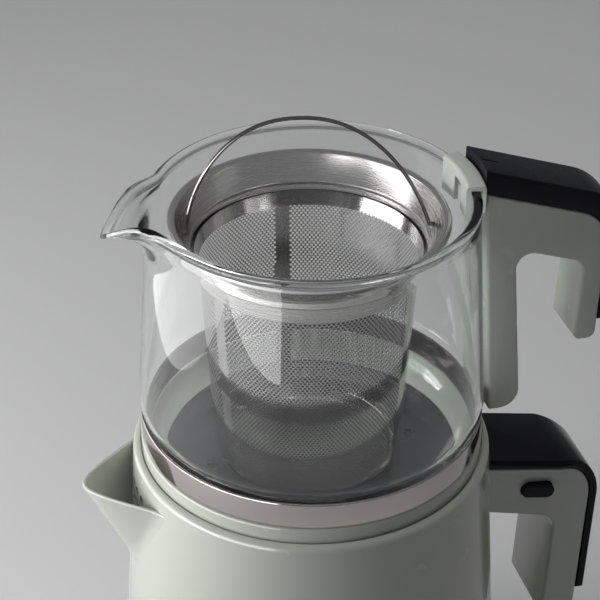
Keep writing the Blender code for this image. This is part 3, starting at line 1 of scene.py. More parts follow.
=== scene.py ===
"""The looks of a two-tier electric tea maker: a glass teapot with a steel infuser on a painted kettle.

Metres, +Z up. The pieces are modelled about the kettle's own axis, which the frame gives, and each one rides
on the body that the solids give it. The spouts point to -X and the handles to +X.
"""
import json
from math import acos, asin, atan2, copysign, cos, hypot, pi, radians, sin, tan

import bmesh
import bpy
from mathutils import Matrix, Vector

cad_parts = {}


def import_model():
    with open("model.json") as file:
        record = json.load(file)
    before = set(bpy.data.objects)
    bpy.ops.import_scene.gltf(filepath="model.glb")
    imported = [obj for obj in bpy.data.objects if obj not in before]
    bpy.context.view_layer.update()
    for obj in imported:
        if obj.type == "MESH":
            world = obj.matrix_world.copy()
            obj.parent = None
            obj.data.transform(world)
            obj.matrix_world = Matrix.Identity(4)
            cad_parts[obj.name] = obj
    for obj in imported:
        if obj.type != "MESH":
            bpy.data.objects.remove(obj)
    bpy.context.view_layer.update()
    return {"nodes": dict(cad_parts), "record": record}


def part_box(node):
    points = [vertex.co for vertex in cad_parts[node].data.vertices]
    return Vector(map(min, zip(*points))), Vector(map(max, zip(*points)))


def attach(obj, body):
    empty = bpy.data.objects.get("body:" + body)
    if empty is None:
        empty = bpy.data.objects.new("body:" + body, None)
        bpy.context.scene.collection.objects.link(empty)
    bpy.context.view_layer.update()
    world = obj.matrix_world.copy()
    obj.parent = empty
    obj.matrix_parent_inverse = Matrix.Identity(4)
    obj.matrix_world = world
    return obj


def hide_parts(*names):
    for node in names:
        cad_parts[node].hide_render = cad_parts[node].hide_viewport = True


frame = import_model()

MM = 0.001
GAP = 0.3 * MM                 # between rigid neighbours
TINY = 0.01 * MM
TURN_STEPS = 224
SMALL_STEPS = 64
CORNER_PARTS = 12

# Places read from the frame
RING_LOW, RING_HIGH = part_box("kettle_lid_ring")
AXIS_X = (RING_LOW.x + RING_HIGH.x) / 2
GLASS_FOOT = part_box("teapot_glass")[0].z
KETTLE_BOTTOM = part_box("kettle_body")[0].z
KETTLE_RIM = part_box("kettle_body")[1].z
LID_BOTTOM = KETTLE_RIM - 1.3 * MM
LID_TOP = RING_HIGH.z
HEATER_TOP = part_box("heating_plate")[1].z
BASE_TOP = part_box("base_housing")[1].z
BASE_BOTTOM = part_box("base_housing")[0].z

# Power base
BASE_RADIUS = 87.0 * MM
BASE_EDGE = 4.0 * MM
BASE_WALL = 2.4 * MM
FOOT_HEIGHT = 3.2 * MM
TONGUE_REACH = 124.0 * MM
TONGUE_ROOT = 50.0 * MM
TONGUE_HALF_WIDTH = 34.0 * MM
TONGUE_TOP = 21.0 * MM
TONGUE_NOSE = 9.0 * MM
TONGUE_BREAK = 92.0 * MM
TONGUE_ROUND = 5.0 * MM
TONGUE_WALL = 2.6 * MM
TONGUE_INSIDE = TONGUE_HALF_WIDTH - TONGUE_WALL - TONGUE_ROUND / 2
FOOT_RADIUS = 6.5 * MM
FOOT_CIRCLE = BASE_RADIUS - BASE_WALL - 18.6 * MM
FOOT_RECESS = 1.2 * MM
FOOT_EDGE = 0.8 * MM
FOOT_COUNT = 4
BASE_COVER_THICKNESS = 2.4 * MM
PANEL_LENGTH = 22.0 * MM
PANEL_HALF_WIDTH = 25.0 * MM
PANEL_THICKNESS = 1.4 * MM
PANEL_EDGE = 0.4 * MM
BUTTON_RADIUS = 6.2 * MM
BUTTON_SPACING = 15.5 * MM
BUTTON_PROUD = 1.6 * MM
BUTTON_UNDERCUT = 1.4 * MM
BUTTON_STEM_RADIUS = 3.2 * MM
BUTTON_STEM_LENGTH = 4.0 * MM
BUTTON_EDGE = 0.8 * MM
WINDOW_RADIUS = 2.4 * MM
WINDOW_PROUD = 0.3 * MM
CONNECTOR_RADIUS = 16.0 * MM
CONNECTOR_RISE = 7.0 * MM
CONNECTOR_FLANGE = 4.0 * MM
CONNECTOR_FLOOR = 1.6 * MM
CONNECTOR_EDGE = 1.2 * MM
PIN_RADIUS = 4.4 * MM
PIN_RISE = 4.5 * MM
RING_GROOVE = 2.6 * MM
GLAND_RADIUS = 5.2 * MM
GLAND_LENGTH = 9.0 * MM
GLAND_BORE = 3.4 * MM
GLAND_SETBACK = 0.7 * MM
SCREW_RADIUS = 3.2 * MM
SCREW_HEAD = 1.1 * MM
SCREW_SHANK = 1.5 * MM
SCREW_LENGTH = 5.0 * MM
SCREW_EDGE = 0.5 * MM
SLOT_HALF_LENGTH = SCREW_RADIUS * 0.55
SLOT_HALF_WIDTH = SCREW_RADIUS * 0.12
SLOT_DEPTH = SCREW_HEAD * 0.6

# Kettle
KETTLE_BOTTOM_RADIUS = 83.4 * MM
KETTLE_TOP_RADIUS = 72.4 * MM
KETTLE_HEIGHT = KETTLE_RIM - KETTLE_BOTTOM
KETTLE_WALL = 2.0 * MM
SHOULDER_ROUND = 2.8 * MM
SHOULDER_RIM_RADIUS = 69.6 * MM
MOUTH_RADIUS = 66.6 * MM
MOUTH_SEAT = KETTLE_RIM - 1.6 * MM
MOUTH_THICKNESS = 3.0 * MM
MOUTH_ROUND = 0.5 * MM
NECK_ROUND = 3.0 * MM
SKIRT_ROUND = 1.2 * MM
HEATER_THICKNESS = 2.0 * MM
HEATER_LEDGE = 2.4 * MM
HEATER_EDGE = 0.6 * MM
HEATER_DISH = 0.4 * MM
HEATER_DISH_SHARES = (0.86, 0.84)

# Kettle spout
BEAK_REACH = 95.0 * MM
BEAK_HALF_WIDTH = 26.5 * MM
BEAK_TOP = KETTLE_RIM - 7.6 * MM
BEAK_DEPTH = 41.0 * MM
BEAK_WALL = 1.8 * MM
BEAK_TAPER_SHARE = 0.82
BEAK_TIP_TURN = radians(4.6)
BEAK_FILLET = 2.6 * MM
BEAK_SINK = 0.4 * MM
BEAK_FALL_SHARE = 0.1
BEAK_ROOT_SHARE = 1.32         # of the spout's own half angle, in which its root is drawn
BEAK_SIDE_SHARE = 1.3          # of the wall, at the spout's slanting sides
BEAK_CROWDING = 0.45           # of its columns at the tip
POUR_HOLE_RADIUS = 2.1 * MM
POUR_HOLE_PITCH = 6.4 * MM
POUR_HOLE_DROP = 5.8 * MM
POUR_HOLE_ROWS = (4, 3, 2)

# Kettle lid
LID_RING_RADIUS = 69.0 * MM
LID_LOW_EDGE = 0.8 * MM
LID_HIGH_EDGE = 1.1 * MM
LID_PLUG_RADIUS = 65.4 * MM
LID_PLUG_DEPTH = 14.6 * MM
LID_PLUG_WALL = 2.2 * MM
LID_PLATE_RADIUS = 59.8 * MM
LID_PLATE_THICKNESS = 2.0 * MM
VENT_CIRCLE = 42.0 * MM
VENT_RADIUS = 2.6 * MM
VENT_COUNT = 6

# Glass teapot
RIM_RADIUS = 61.4 * MM
RIM_BEAD = 1.95 * MM
GLASS_HEIGHT = 118.2 * MM
GLASS_BOTTOM_RADIUS = 67.2 * MM
BELLY_RADIUS = 69.0 * MM
GLASS_WALL = 2.2 * MM
GLASS_FLOOR = 3.0 * MM
GLASS_HEEL = 20.0 * MM
HEEL_INSIDE = 14.0 * MM        # the glass is thicker at its heel
NECK_DROP = 4.5 * MM
NECK_RADIUS = 63.1 * MM
RIM_LEVEL = GLASS_FOOT + GLASS_HEIGHT
LIP_REACH = 17.4 * MM
LIP_HALF_ANGLE = radians(31.0)
LIP_DEPTH = 24.0 * MM
LIP_HUMP = 3.6 * MM
LIP_BLUNT = 0.1
LIP_POWER = 1.45
LIP_FADE = 4.2
LIP_NARROWING = 0.35
LIP_DROOP = 5.6 * MM
LIP_DROOP_SHARE = 0.55
BAND_BOTTOM = 15.8 * MM
BAND_WIDTH = 10.7 * MM
BAND_THICKNESS = 1.0 * MM
BAND_LOW_EDGE = 0.35 * MM
BAND_HIGH_EDGE = 0.45 * MM
BAND_SEAM_TURN = radians(-42.4)
BAND_SEAM_DEPTH = 0.6 * MM
BAND_SEAM_HALF_WIDTH = 0.22 * MM
BAND_TOP = GLASS_FOOT + BAND_BOTTOM + BAND_WIDTH
BELLY_STEP = 6.5 * MM          # from the band's top to where the glass has its full width
BRACKET_HALF_WIDTH = 6.0 * MM
BRACKET_HEIGHT = 8.0 * MM
BRACKET_EDGE = 0.3 * MM

# Teapot handle
CLIP_HALF_ANGLE = radians(13.5)
CLIP_WALL = 1.7 * MM
CLIP_LEG = 10.5 * MM
CLIP_OUTER_LEG = 7.0 * MM
CLIP_NOTCH_HALF_ANGLE = radians(3.6)
CLIP_OUTER_EDGE = 1.2 * MM
CLIP_INNER_EDGE = 1.4 * MM
POT_HANDLE_HALF_WIDTH = 11.4 * MM
POT_COVER_THICKNESS = 9.0 * MM
POT_ARM_SLOPE = radians(18.6)
POT_COVER_REACH = 5.4 * MM
POT_LEG_TOP = 65.3 * MM
POT_LEG_BOTTOM = 72.4 * MM
POT_LEG_THICKNESS = 13.6 * MM
POT_LEG_FOOT = 14.4 * MM
POT_ARM_LEVEL = RIM_LEVEL - 1.8 * MM
POT_ARM_DEPTH = 22.0 * MM
POT_GRIP_INNER = 108.0 * MM
POT_GRIP_THICKNESS = 9.5 * MM
POT_GRIP_BOTTOM = 42.9 * MM
POT_CORNER = 17.0 * MM
POT_GRIP_LEAN = 1.0 * MM
POT_GRIP_ROUND = 3.4 * MM
POT_GAP_ROUND = 6.0 * MM
POT_LEG_ROUND = 8.0 * MM
COVER_END_SHARE = 0.2
SLIT_LENGTH = 6.8 * MM
SLIT_WIDTH = 0.9 * MM
SLIT_DEPTH = 3.0 * MM
SLIT_START = 1.2 * MM
HANDLE_EDGE = 1.2 * MM

# Kettle handle
ARM_TOP = 130.5 * MM
ARM_SLOPE = radians(11.0)
ARM_DEPTH = 22.5 * MM
ARM_HALF_WIDTH = 18.6 * MM
ARM_COVER_THICKNESS = 3.6 * MM
GRIP_INNER = 104.0 * MM
GRIP_THICKNESS = 17.5 * MM
GRIP_BOTTOM = 34.0 * MM
GRIP_CORNER = 20.0 * MM
GRIP_HALF_WIDTH = 14.0 * MM
GRIP_LEAN = 2.0 * MM
GRIP_FOOT_ROUND = 7.0 * MM
GRIP_INNER_ROUND = 9.0 * MM
ARM_UNDER_SLOPE = radians(15.0)
SIDE_BUTTON_LENGTH = 15.0 * MM
SIDE_BUTTON_HEIGHT = 6.6 * MM
SIDE_BUTTON_START = 87.0 * MM
SIDE_BUTTON_DROP = 10.6 * MM
SIDE_BUTTON_PROUD = 1.4 * MM
SIDE_BUTTON_DEPTH = 5.0 * MM
SIDE_BUTTON_TRAVEL = 1.2 * MM
SIDE_BUTTON_EDGE = 0.6 * MM

# Infuser
INFUSER_TURN = radians(-10.0)
INFUSER_SHIFT = -1.5 * MM      # it stands a little off the glass's axis, along the bail's pivots
FLANGE_RADIUS = 53.8 * MM
FLANGE_BEAD = 1.7 * MM
FLANGE_BEAD_END = -pi * 0.7
FLANGE_LEVEL = RIM_LEVEL - 8.1 * MM
FLANGE_WALL = 0.7 * MM
COLLAR_RADIUS = 43.6 * MM
COLLAR_FOOT = COLLAR_RADIUS - 0.9 * MM
CONE_DEPTH = 10.4 * MM
CONE_FOOT = FLANGE_LEVEL - CONE_DEPTH
COLLAR_DEPTH = 8.4 * MM
# the step between the cone and the collar: mm beyond the collar, mm above the cone's foot, rounding in mm
FLANGE_STEP = ((1.6, 1.2, 1.4), (1.9, -0.4, 0.5), (1.5, -1.2, 0.4))
BASKET_FOOT_RADIUS = 36.6 * MM
BASKET_CORNER = 6.0 * MM
BASKET_FLOOR = GLASS_FOOT + GLASS_FLOOR + GAP
BASKET_TOP = CONE_FOOT - 2.0 * MM
BASKET_MOUTH = COLLAR_FOOT - 2 * GAP
BASKET_FLARE = 2.0 * MM        # of the wall inside the collar
BASKET_PLAIN_TOP = 6.2 * MM
BASKET_TAPER = 0.7
HOLE_COLUMNS = 152
HOLE_ROW = 1.12 * MM
HOLE_SHARE = 0.60
HOLE_RADIUS = HOLE_ROW * HOLE_SHARE * 0.86
HOLE_STRETCH = 1.12            # round the wall, where a cell is wider than a row
PLAIN_STRIPS = (radians(100.0), radians(212.0), radians(332.0))
PLAIN_STRIP_HALF_WIDTH = 3.0 * MM
BAIL_WIRE = 0.75 * MM
BAIL_HEIGHT = 46.7 * MM
BAIL_SPAN = 45.8 * MM
BAIL_POWERS = (0.9, 1.36)
BAIL_LEAN = 4.4 * MM           # the hoop is bent a little towards the spout
BAIL_PIVOT_DROP = 5.0 * MM
BAIL_HOLE_RADIUS = BAIL_WIRE * 1.6
# its end behind the funnel, in mm outwards and upwards
BAIL_HOOK = ((0, -2.4), (-0.1, -1.2), (-0.6, -0.2), (-1.6, 0))

# Camera, in a frame that stands on the kettle's axis and is turned from the handles' direction
HANDLE_TURN = radians(15.7)
CAMERA_DISTANCE = 558.0 * MM
CAMERA_RISE = 311.6 * MM       # above the glass rim
CAMERA_PITCH = radians(32.60)
CAMERA_YAW = radians(-0.494)
CAMERA_ROLL = radians(0.27)
CAMERA_LENS = 102.3
CAMERA_SENSOR = 36.0

# Studio: the floor and the wall are paler where the camera, metal and glass see them
FLOOR_RADIUS = 4.0
FLOOR_SEEN = (0.68, 0.68, 0.68)
FLOOR_LIGHT = (0.42, 0.42, 0.42)
WALL_COLOUR = (0.80, 0.82, 0.84, 1)
WALL_SEEN = 0.22
WALL_LIGHT = 0.08
WINDOW = (-80.0, (0.0, 0.8, 0.24), (0.8, 0.48), 0.0)   # its turn, place, size and lean

def shift(x, y=0, z=0):
    return Matrix.Translation((x, y, z))


def spin(angle, axis="Z"):
    return Matrix.Rotation(angle, 4, axis)


def add(name, data):
    """An object in the scene."""
    item = bpy.data.objects.new(name, data)
    bpy.context.scene.collection.objects.link(item)
    return item


AXIS = shift(AXIS_X)
INFUSER_PLACE = AXIS @ spin(INFUSER_TURN) @ shift(INFUSER_SHIFT)
STUDIO = AXIS @ spin(-HANDLE_TURN)


def ease(share):
    """A soft step from 0 to 1."""
    share = min(max(share, 0.0), 1.0)
    return share * share * (3 - 2 * share)


def polar(radius, angle, z):
    return (radius * cos(angle), radius * sin(angle), z)


# Meshes

def rounded(corners, parts=CORNER_PARTS):
    """Points of an outline whose corners are (x, z, radius), or (x, z) where they stay sharp."""
    points = []
    count = len(corners)
    for index, (x, z, *radius) in enumerate(corners):
        here = Vector((x, z))
        if not radius:
            points.append((x, z))
            continue
        before = Vector(corners[index - 1][:2]) - here
        after = Vector(corners[(index + 1) % count][:2]) - here
        half = before.angle(after) / 2
        trim = radius[0] / tan(half)
        centre = here + (before.normalized() + after.normalized()).normalized() * (radius[0] / sin(half))
        start = here + before.normalized() * trim - centre
        end = here + after.normalized() * trim - centre
        sweep = start.angle_signed(end)
        for step in range(parts + 1):
            turn = -sweep * step / parts
            c, s = cos(turn), sin(turn)
            points.append((centre.x + start.x * c - start.y * s, centre.y + start.x * s + start.y * c))
    return points


def arc_points(centre, radius, start, end, parts):
    return [(centre[0] + radius * cos(start + (end - start) * step / parts),
             centre[1] + radius * sin(start + (end - start) * step / parts))
            for step in range(parts + 1)]


def line_points(start, end, parts):
    return [tuple(a + (b - a) * step / parts for a, b in zip(start, end)) for step in range(1, parts)]


def offset_path(points, distance):
    moved = []
    for index, point in enumerate(points):
        here = Vector(point)
        before = here - Vector(points[index - 1]) if index else None
        after = Vector(points[index + 1]) - here if index < len(points) - 1 else None
        sides = [Vector((-way.y, way.x)).normalized() for way in (before, after) if way is not None]
        side = sum(sides, Vector((0, 0))).normalized()
        moved.append(tuple(here + side * (distance / max(side.dot(sides[0]), 0.5))))
    return moved


def mesh_from(bm, sharp=32):
    bmesh.ops.recalc_face_normals(bm, faces=bm.faces)
    mesh = bpy.data.meshes.new("mesh")
    bm.to_mesh(mesh)
    bm.free()
    mesh.shade_smooth()
    mesh.set_sharp_from_angle(angle=radians(sharp))
    return mesh


def join_rings(bm, first, second, closed=True):
    """Faces between two rings of vertices, where a ring of one vertex is a point on the axis."""
    count = max(len(first), len(second))
    for i in range(count if closed else count - 1):
        j = (i + 1) % count
        corners = dict.fromkeys((first[i % len(first)], first[j % len(first)],
                                 second[j % len(second)], second[i % len(second)]))
        if len(corners) > 2:
            bm.faces.new(list(corners))


def turned_mesh(outline, steps=TURN_STEPS, sharp=32):
    """A closed (radius, height) outline turned about Z."""
    bm = bmesh.new()
    rings = []
    for radius, z in outline:
        count = steps if radius > 1e-7 else 1
        rings.append([bm.verts.new(polar(radius, 2 * pi * k / steps, z)) for k in range(count)])
    for first, second in zip(rings, rings[1:] + rings[:1]):
        if len(first) > 1 or len(second) > 1:
            join_rings(bm, first, second)
    return mesh_from(bm, sharp)


def sector_mesh(outline, half_angle, parts):
    """A closed (radius, height) outline swept about Z from -half_angle to +half_angle, with flat ends."""
    bm = bmesh.new()
    rings = []
    for step in range(parts + 1):
        angle = half_angle * (2 * step / parts - 1)
        rings.append([bm.verts.new(polar(r, angle, z)) for r, z in outline])
    for first, second in zip(rings, rings[1:]):
        join_rings(bm, first, second)
    bm.faces.new(rings[0])
    bm.faces.new(rings[-1])
    return mesh_from(bm)


def prism_mesh(outline, half_width, edge=0.0, steps=5):
    """An (x, z) outline carried from -half_width to +half_width along Y, with its side edges rounded."""
    bm = bmesh.new()
    face = bm.faces.new([bm.verts.new((x, -half_width, z)) for x, z in outline])
    grown = bmesh.ops.extrude_face_region(bm, geom=[face])
    moved = [v for v in grown["geom"] if isinstance(v, bmesh.types.BMVert)]
    bmesh.ops.translate(bm, verts=moved, vec=(0, 2 * half_width, 0))
    if edge:
        sides = [e for e in bm.edges if abs(e.verts[0].co.y - e.verts[1].co.y) < 1e-7]
        bmesh.ops.bevel(bm, geom=sides, offset=edge, segments=steps, profile=0.5, affect="EDGES")
    return mesh_from(bm)


def box_mesh(low, high, edge=0.0, steps=4):
    bm = bmesh.new()
    size = [b - a for a, b in zip(low, high)]
    middle = [(a + b) / 2 for a, b in zip(low, high)]
    bmesh.ops.create_cube(bm, size=1, matrix=shift(*middle) @ Matrix.Diagonal((*size, 1)))
    if edge:
        bmesh.ops.bevel(bm, geom=list(bm.edges), offset=edge, segments=steps, profile=0.5, affect="EDGES")
    return mesh_from(bm)


def tube_mesh(points, radius, sides=16):
    """A round bar along points, with rounded-off ends."""
    bm = bmesh.new()
    rings = []
    across = None
    for index, point in enumerate(points):
        here = Vector(point)
        before = Vector(points[max(index - 1, 0)])
        after = Vector(points[min(index + 1, len(points) - 1)])
        along = (after - before).normalized()
        if across is None:
            across = along.orthogonal().normalized()
        across = (across - along * across.dot(along)).normalized()
        other = along.cross(across)
        rings.append([bm.verts.new(here + (across * cos(2 * pi * k / sides)
                                           + other * sin(2 * pi * k / sides)) * radius)
                      for k in range(sides)])
    for first, second in zip(rings, rings[1:]):
        join_rings(bm, first, second)
    for ring, point, neighbour in ((rings[0], points[0], points[1]), (rings[-1], points[-1], points[-2])):
        tip = bm.verts.new(Vector(point) + (Vector(point) - Vector(neighbour)).normalized() * radius * 0.6)
        join_rings(bm, ring, [tip])
    return mesh_from(bm, 60)


def cylinder_mesh(radius, bottom, top, centre=(0, 0), steps=SMALL_STEPS):
    outline = [(0, bottom), (radius, bottom), (radius, top), (0, top)]
    return placed(turned_mesh(outline, steps), shift(*centre))


def placed(mesh, matrix):
    copy = mesh.copy()
    copy.transform(matrix)
    return copy


def joined_mesh(meshes, sharp=32):
    bm = bmesh.new()
    for mesh in meshes:
        bm.from_mesh(mesh)
    return mesh_from(bm, sharp)


def ring_of(mesh, count, start=0.0):
    return [placed(mesh, spin(start + 2 * pi * k / count)) for k in range(count)]


def combined(mesh, *others, operation="DIFFERENCE"):
    """A mesh cut by, or joined to, each of the others in turn."""
    for other in others:
        holder, tool = add("holder", mesh), add("tool", other)
        step = holder.modifiers.new("Boolean", "BOOLEAN")
        step.operation, step.solver, step.object = operation, "EXACT", tool
        bpy.context.view_layer.update()
        mesh = bpy.data.meshes.new_from_object(holder.evaluated_get(bpy.context.evaluated_depsgraph_get()))
        for item in (holder, tool):
            bpy.data.objects.remove(item, do_unlink=True)
        mesh.shade_smooth()
        mesh.set_sharp_from_angle(angle=radians(32))
    return mesh


# Materials

class Paintbox:
    def __init__(self, name):
        self.material = bpy.data.materials.new(name)
        self.material.use_nodes = True
        self.tree = self.material.node_tree
        self.shader = self.tree.nodes["Principled BSDF"]
        self.output = self.tree.nodes["Material Output"]

    def node(self, kind, **inputs):
        made = self.tree.nodes.new(kind)
        for key, value in inputs.items():
            socket = made.inputs[key.replace("_", " ")]
            if isinstance(value, bpy.types.NodeSocket):
                self.tree.links.new(value, socket)
            else:
                socket.default_value = value
        return made

    def link(self, source, target):
        self.tree.links.new(source, target)

    def set(self, **values):
        for key, value in values.items():
            self.shader.inputs[key.replace("_", " ")].default_value = value

    def place(self):
        return self.tree.nodes.new("ShaderNodeTexCoord").outputs["Object"]

    def noise(self, scale, detail=3.0, vector=None):
        made = self.node("ShaderNodeTexNoise", Scale=scale, Detail=detail, Vector=vector or self.place())
        return made.outputs["Fac"]

    def rough(self, value, low, high):
        made = self.node("ShaderNodeMapRange", Value=value, From_Min=0.3, From_Max=0.7,
                         To_Min=low, To_Max=high)
        self.link(made.outputs["Result"], self.shader.inputs["Roughness"])

    def tint(self, value, first, second):
        made = self.tree.nodes.new("ShaderNodeMix")
        made.data_type = "RGBA"
        self.link(value, made.inputs["Factor"])
        made.inputs["A"].default_value = (*first, 1)
        made.inputs["B"].default_value = (*second, 1)
        self.link(made.outputs["Result"], self.shader.inputs["Base Color"])

    def relief(self, height, strength, distance):
        made = self.node("ShaderNodeBump", Height=height, Strength=strength, Distance=distance)
        self.link(made.outputs["Normal"], self.shader.inputs["Normal"])

    def about_axis(self, across, along):
        """Object coordinates as (radius, height), scaled apart, so that noise runs round the axis."""
        parts = self.node("ShaderNodeSeparateXYZ", Vector=self.place())
        flat = self.node("ShaderNodeCombineXYZ", X=parts.outputs["X"], Y=parts.outputs["Y"])
        length = self.node("ShaderNodeVectorMath", Vector=flat.outputs["Vector"])
        length.operation = "LENGTH"
        both = self.node("ShaderNodeCombineXYZ", X=length.outputs["Value"], Z=parts.outputs["Z"])
        scaled = self.node("ShaderNodeVectorMath", Vector=both.outputs["Vector"])
        scaled.operation = "MULTIPLY"
        scaled.inputs[1].default_value = (across, 1, along)
        return scaled.outputs["Vector"]


def paint(name, first, second, roughness):
    """Gloss enamel: a trace of orange peel and a slightly uneven colour under a clear coat."""
    box = Paintbox(name)
    box.tint(box.noise(9.0), first, second)
    box.rough(box.noise(60.0), roughness * 0.9, roughness * 1.15)
    box.set(Coat_Weight=0.5, Coat_Roughness=0.06, Specular_IOR_Level=0.5)
    box.relief(box.noise(420.0, 1.0), 0.02, 0.0002)
    return box.material


def plastic(name, first, second, roughness, grain, strength, coat=0.0, shine=0.5):
    box = Paintbox(name)
    box.set(Specular_IOR_Level=shine)
    box.tint(box.noise(40.0), first, second)
    box.rough(box.noise(grain, 2.0), roughness * 0.85, roughness * 1.2)
    if coat:
        box.set(Coat_Weight=coat, Coat_Roughness=0.04)
    box.relief(box.noise(grain, 2.0), strength, 0.0002)
    return box.material


def spun_steel(name, first, second, roughness, strength):
    """Stainless steel spun on a lathe: fine rings round the axis and a few soft clouds."""
    box = Paintbox(name)
    rings = box.noise(1.0, 3.0, box.about_axis(2400.0, 2400.0))
    box.tint(box.noise(24.0), first, second)
    box.rough(rings, roughness * 0.9, roughness * 1.12)
    box.set(Metallic=1.0)
    if strength:
        box.relief(rings, strength, 0.0001)
    return box.material


def blown_glass(name):
    """Clear blown glass. Lamps shine through it, so what stands inside is lit."""
    box = Paintbox(name)
    box.set(Base_Color=(0.985, 0.995, 0.992, 1), Roughness=0.0, IOR=1.47, Transmission_Weight=1.0)
    path = box.tree.nodes.new("ShaderNodeLightPath")
    clear = box.node("ShaderNodeBsdfTransparent", Color=(0.93, 0.95, 0.945, 1))
    mix = box.tree.nodes.new("ShaderNodeMixShader")
    box.link(path.outputs["Is Shadow Ray"], mix.inputs["Fac"])
    box.link(box.shader.outputs["BSDF"], mix.inputs[1])
    box.link(clear.outputs["BSDF"], mix.inputs[2])
    box.link(mix.outputs["Shader"], box.output.inputs["Surface"])
    return box.material


# name: maker, first colour, second colour, roughness, then what the maker asks for
FINISHES = {
    "sage_paint": (paint, (0.50, 0.52, 0.465), (0.53, 0.548, 0.495), 0.24),
    # the saddle's paint: the sage paint made lighter, for the light that falls on its top: painted light
    "clip_paint_painted_light": (paint, (0.56, 0.59, 0.55), (0.60, 0.63, 0.585), 0.30),
    "black_gloss": (plastic, (0.003, 0.003, 0.006), (0.005, 0.005, 0.009), 0.12, 300, 0.02, 0.04, 0.12),
    "satin_black": (plastic, (0.005, 0.005, 0.010), (0.009, 0.009, 0.015), 0.34, 900, 0.12, 0, 0.16),
    "steel": (spun_steel, (0.70, 0.68, 0.67), (0.76, 0.74, 0.73), 0.26, 0.004),
    "mesh_steel": (spun_steel, (0.50, 0.485, 0.49), (0.56, 0.545, 0.545), 0.13, 0),
    # the bail's steel: far darker than the other steel, for the dark surroundings that the wire reflects:
    # painted dark reflection
    "wire_steel_painted_dark_reflection": (spun_steel, (0.26, 0.245, 0.24), (0.32, 0.30, 0.295), 0.12, 0.01),
    # the band's steel: darker and warmer than the other steel, for the dim, warm floor that the band
    # reflects: painted dark reflection
    "polished_steel": (spun_steel, (0.50, 0.455, 0.445), (0.54, 0.495, 0.485), 0.10, 0.03),
    "clear_glass": (blown_glass,),
    "dark_plate": (plastic, (0.008, 0.008, 0.011), (0.013, 0.013, 0.017), 0.16, 500, 0.02, 0, 0.3),
    "connector_grey": (plastic, (0.05, 0.05, 0.055), (0.07, 0.07, 0.075), 0.45, 900, 0.15),
    "button_grey": (plastic, (0.50, 0.52, 0.465), (0.53, 0.548, 0.495), 0.32, 900, 0.05),
    "amber_window": (plastic, (0.75, 0.32, 0.05), (0.85, 0.42, 0.08), 0.15, 300, 0.02, 0.8),
    "ceramic_white": (plastic, (0.70, 0.70, 0.66), (0.78, 0.78, 0.74), 0.5, 700, 0.1),
    "rubber": (plastic, (0.018, 0.018, 0.018), (0.030, 0.030, 0.030), 0.75, 700, 0.25),
    "seal": (plastic, (0.68, 0.68, 0.65), (0.75, 0.75, 0.72), 0.5, 500, 0.1),
}
MATERIALS = {name: make(name, *values) for name, (make, *values) in FINISHES.items()}


def dress(name, mesh, body, slot, nodes=(), place=AXIS, material=None):
    """A finished piece: in its place, on its body, with its material and the solids that it stands for."""
    item = add(name, mesh)
    item.matrix_world = place
    mesh.name = name
    mesh.materials.clear()
    mesh.materials.append(MATERIALS[material or slot])
    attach(item, body)
    if nodes:
        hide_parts(*nodes)
    return item


# Kettle

def kettle_radius(z):
    taper = (KETTLE_TOP_RADIUS - KETTLE_BOTTOM_RADIUS) * (z - KETTLE_BOTTOM) / KETTLE_HEIGHT
    return KETTLE_BOTTOM_RADIUS + taper


def spout_line(turn, z, inset):
    """The spout's plan at a height as a radius for each angle from its middle, before it meets the body."""
    wall = kettle_radius(z)
    depth = (BEAK_TOP - z) / BEAK_DEPTH
    foot = kettle_radius(BEAK_TOP - BEAK_DEPTH)
    reach = BEAK_REACH + (foot - BEAK_REACH) * depth - inset
    half = max(BEAK_HALF_WIDTH * (1 - BEAK_TAPER_SHARE * depth) - inset * BEAK_SIDE_SHARE, GAP)
    edge = hypot(asin(half / wall), BEAK_TIP_TURN) - BEAK_TIP_TURN
    slope = atan2(wall * sin(edge), max(reach - wall * cos(edge), TINY))
    soft = hypot(turn, BEAK_TIP_TURN) - BEAK_TIP_TURN
    line = reach * sin(slope) / sin(slope + soft)
    if soft > edge:
        # a shallow line would come out of the body again
        line = min(line, wall * (1 - BEAK_FALL_SHARE * (soft - edge)))
    return line, reach


def spout_radius(turn, z):
    """The spout's outer radius, run out softly on the body and sunk into it beyond that."""
    wall = kettle_radius(z)
    line, reach = spout_line(turn, z, 0.0)
    fillet = max(min(BEAK_FILLET, reach - wall), TINY)
    blend = max(fillet - abs(line - wall), 0.0) / fillet
    sunk = min(max(wall - line - fillet, 0.0), BEAK_SINK)
    return max(line, wall) + blend * blend * fillet / 4 - sunk


def spout_mesh(columns=140, rows=40):
    """The spout's shell: outer face, rounded lip and inner face, with its root inside the kettle's wall."""
    bm = bmesh.new()
    half_angle = asin(BEAK_HALF_WIDTH / KETTLE_TOP_RADIUS) * BEAK_ROOT_SHARE
    round_edge = BEAK_WALL / 2
    levels = [BEAK_TOP - round_edge - (BEAK_DEPTH - round_edge) * (1 - row / rows) for row in range(rows + 1)]
    profiles = []
    for column in range(columns + 1):
        turn = half_angle * (2 * column / columns - 1)
        turn *= BEAK_CROWDING + (1 - BEAK_CROWDING) * abs(turn) / half_angle
        ring = [(spout_radius(abs(turn), z), z) for z in levels]
        outer_top = ring[-1][0]
        inner_top = max(spout_line(abs(turn), BEAK_TOP - round_edge, BEAK_WALL)[0],
                        kettle_radius(BEAK_TOP) - BEAK_WALL / 2)
        half = (outer_top - inner_top) / 2
        for step in range(1, 8):
            angle = pi * step / 8
            ring.append(((outer_top + inner_top) / 2 + half * cos(angle),
                         BEAK_TOP - round_edge + round_edge * sin(angle)))
        for z in reversed(levels):
            inner = max(spout_line(abs(turn), z, BEAK_WALL)[0], kettle_radius(z) - BEAK_WALL / 2)
            ring.append((min(inner, spout_radius(abs(turn), z) - BEAK_SINK / 2), z))
        profiles.append([bm.verts.new(polar(r, pi + turn, z)) for r, z in ring])
    for first, second in zip(profiles, profiles[1:]):
        join_rings(bm, first, second)
    bm.faces.new(profiles[0])
    bm.faces.new(profiles[-1])
    return mesh_from(bm, 50)


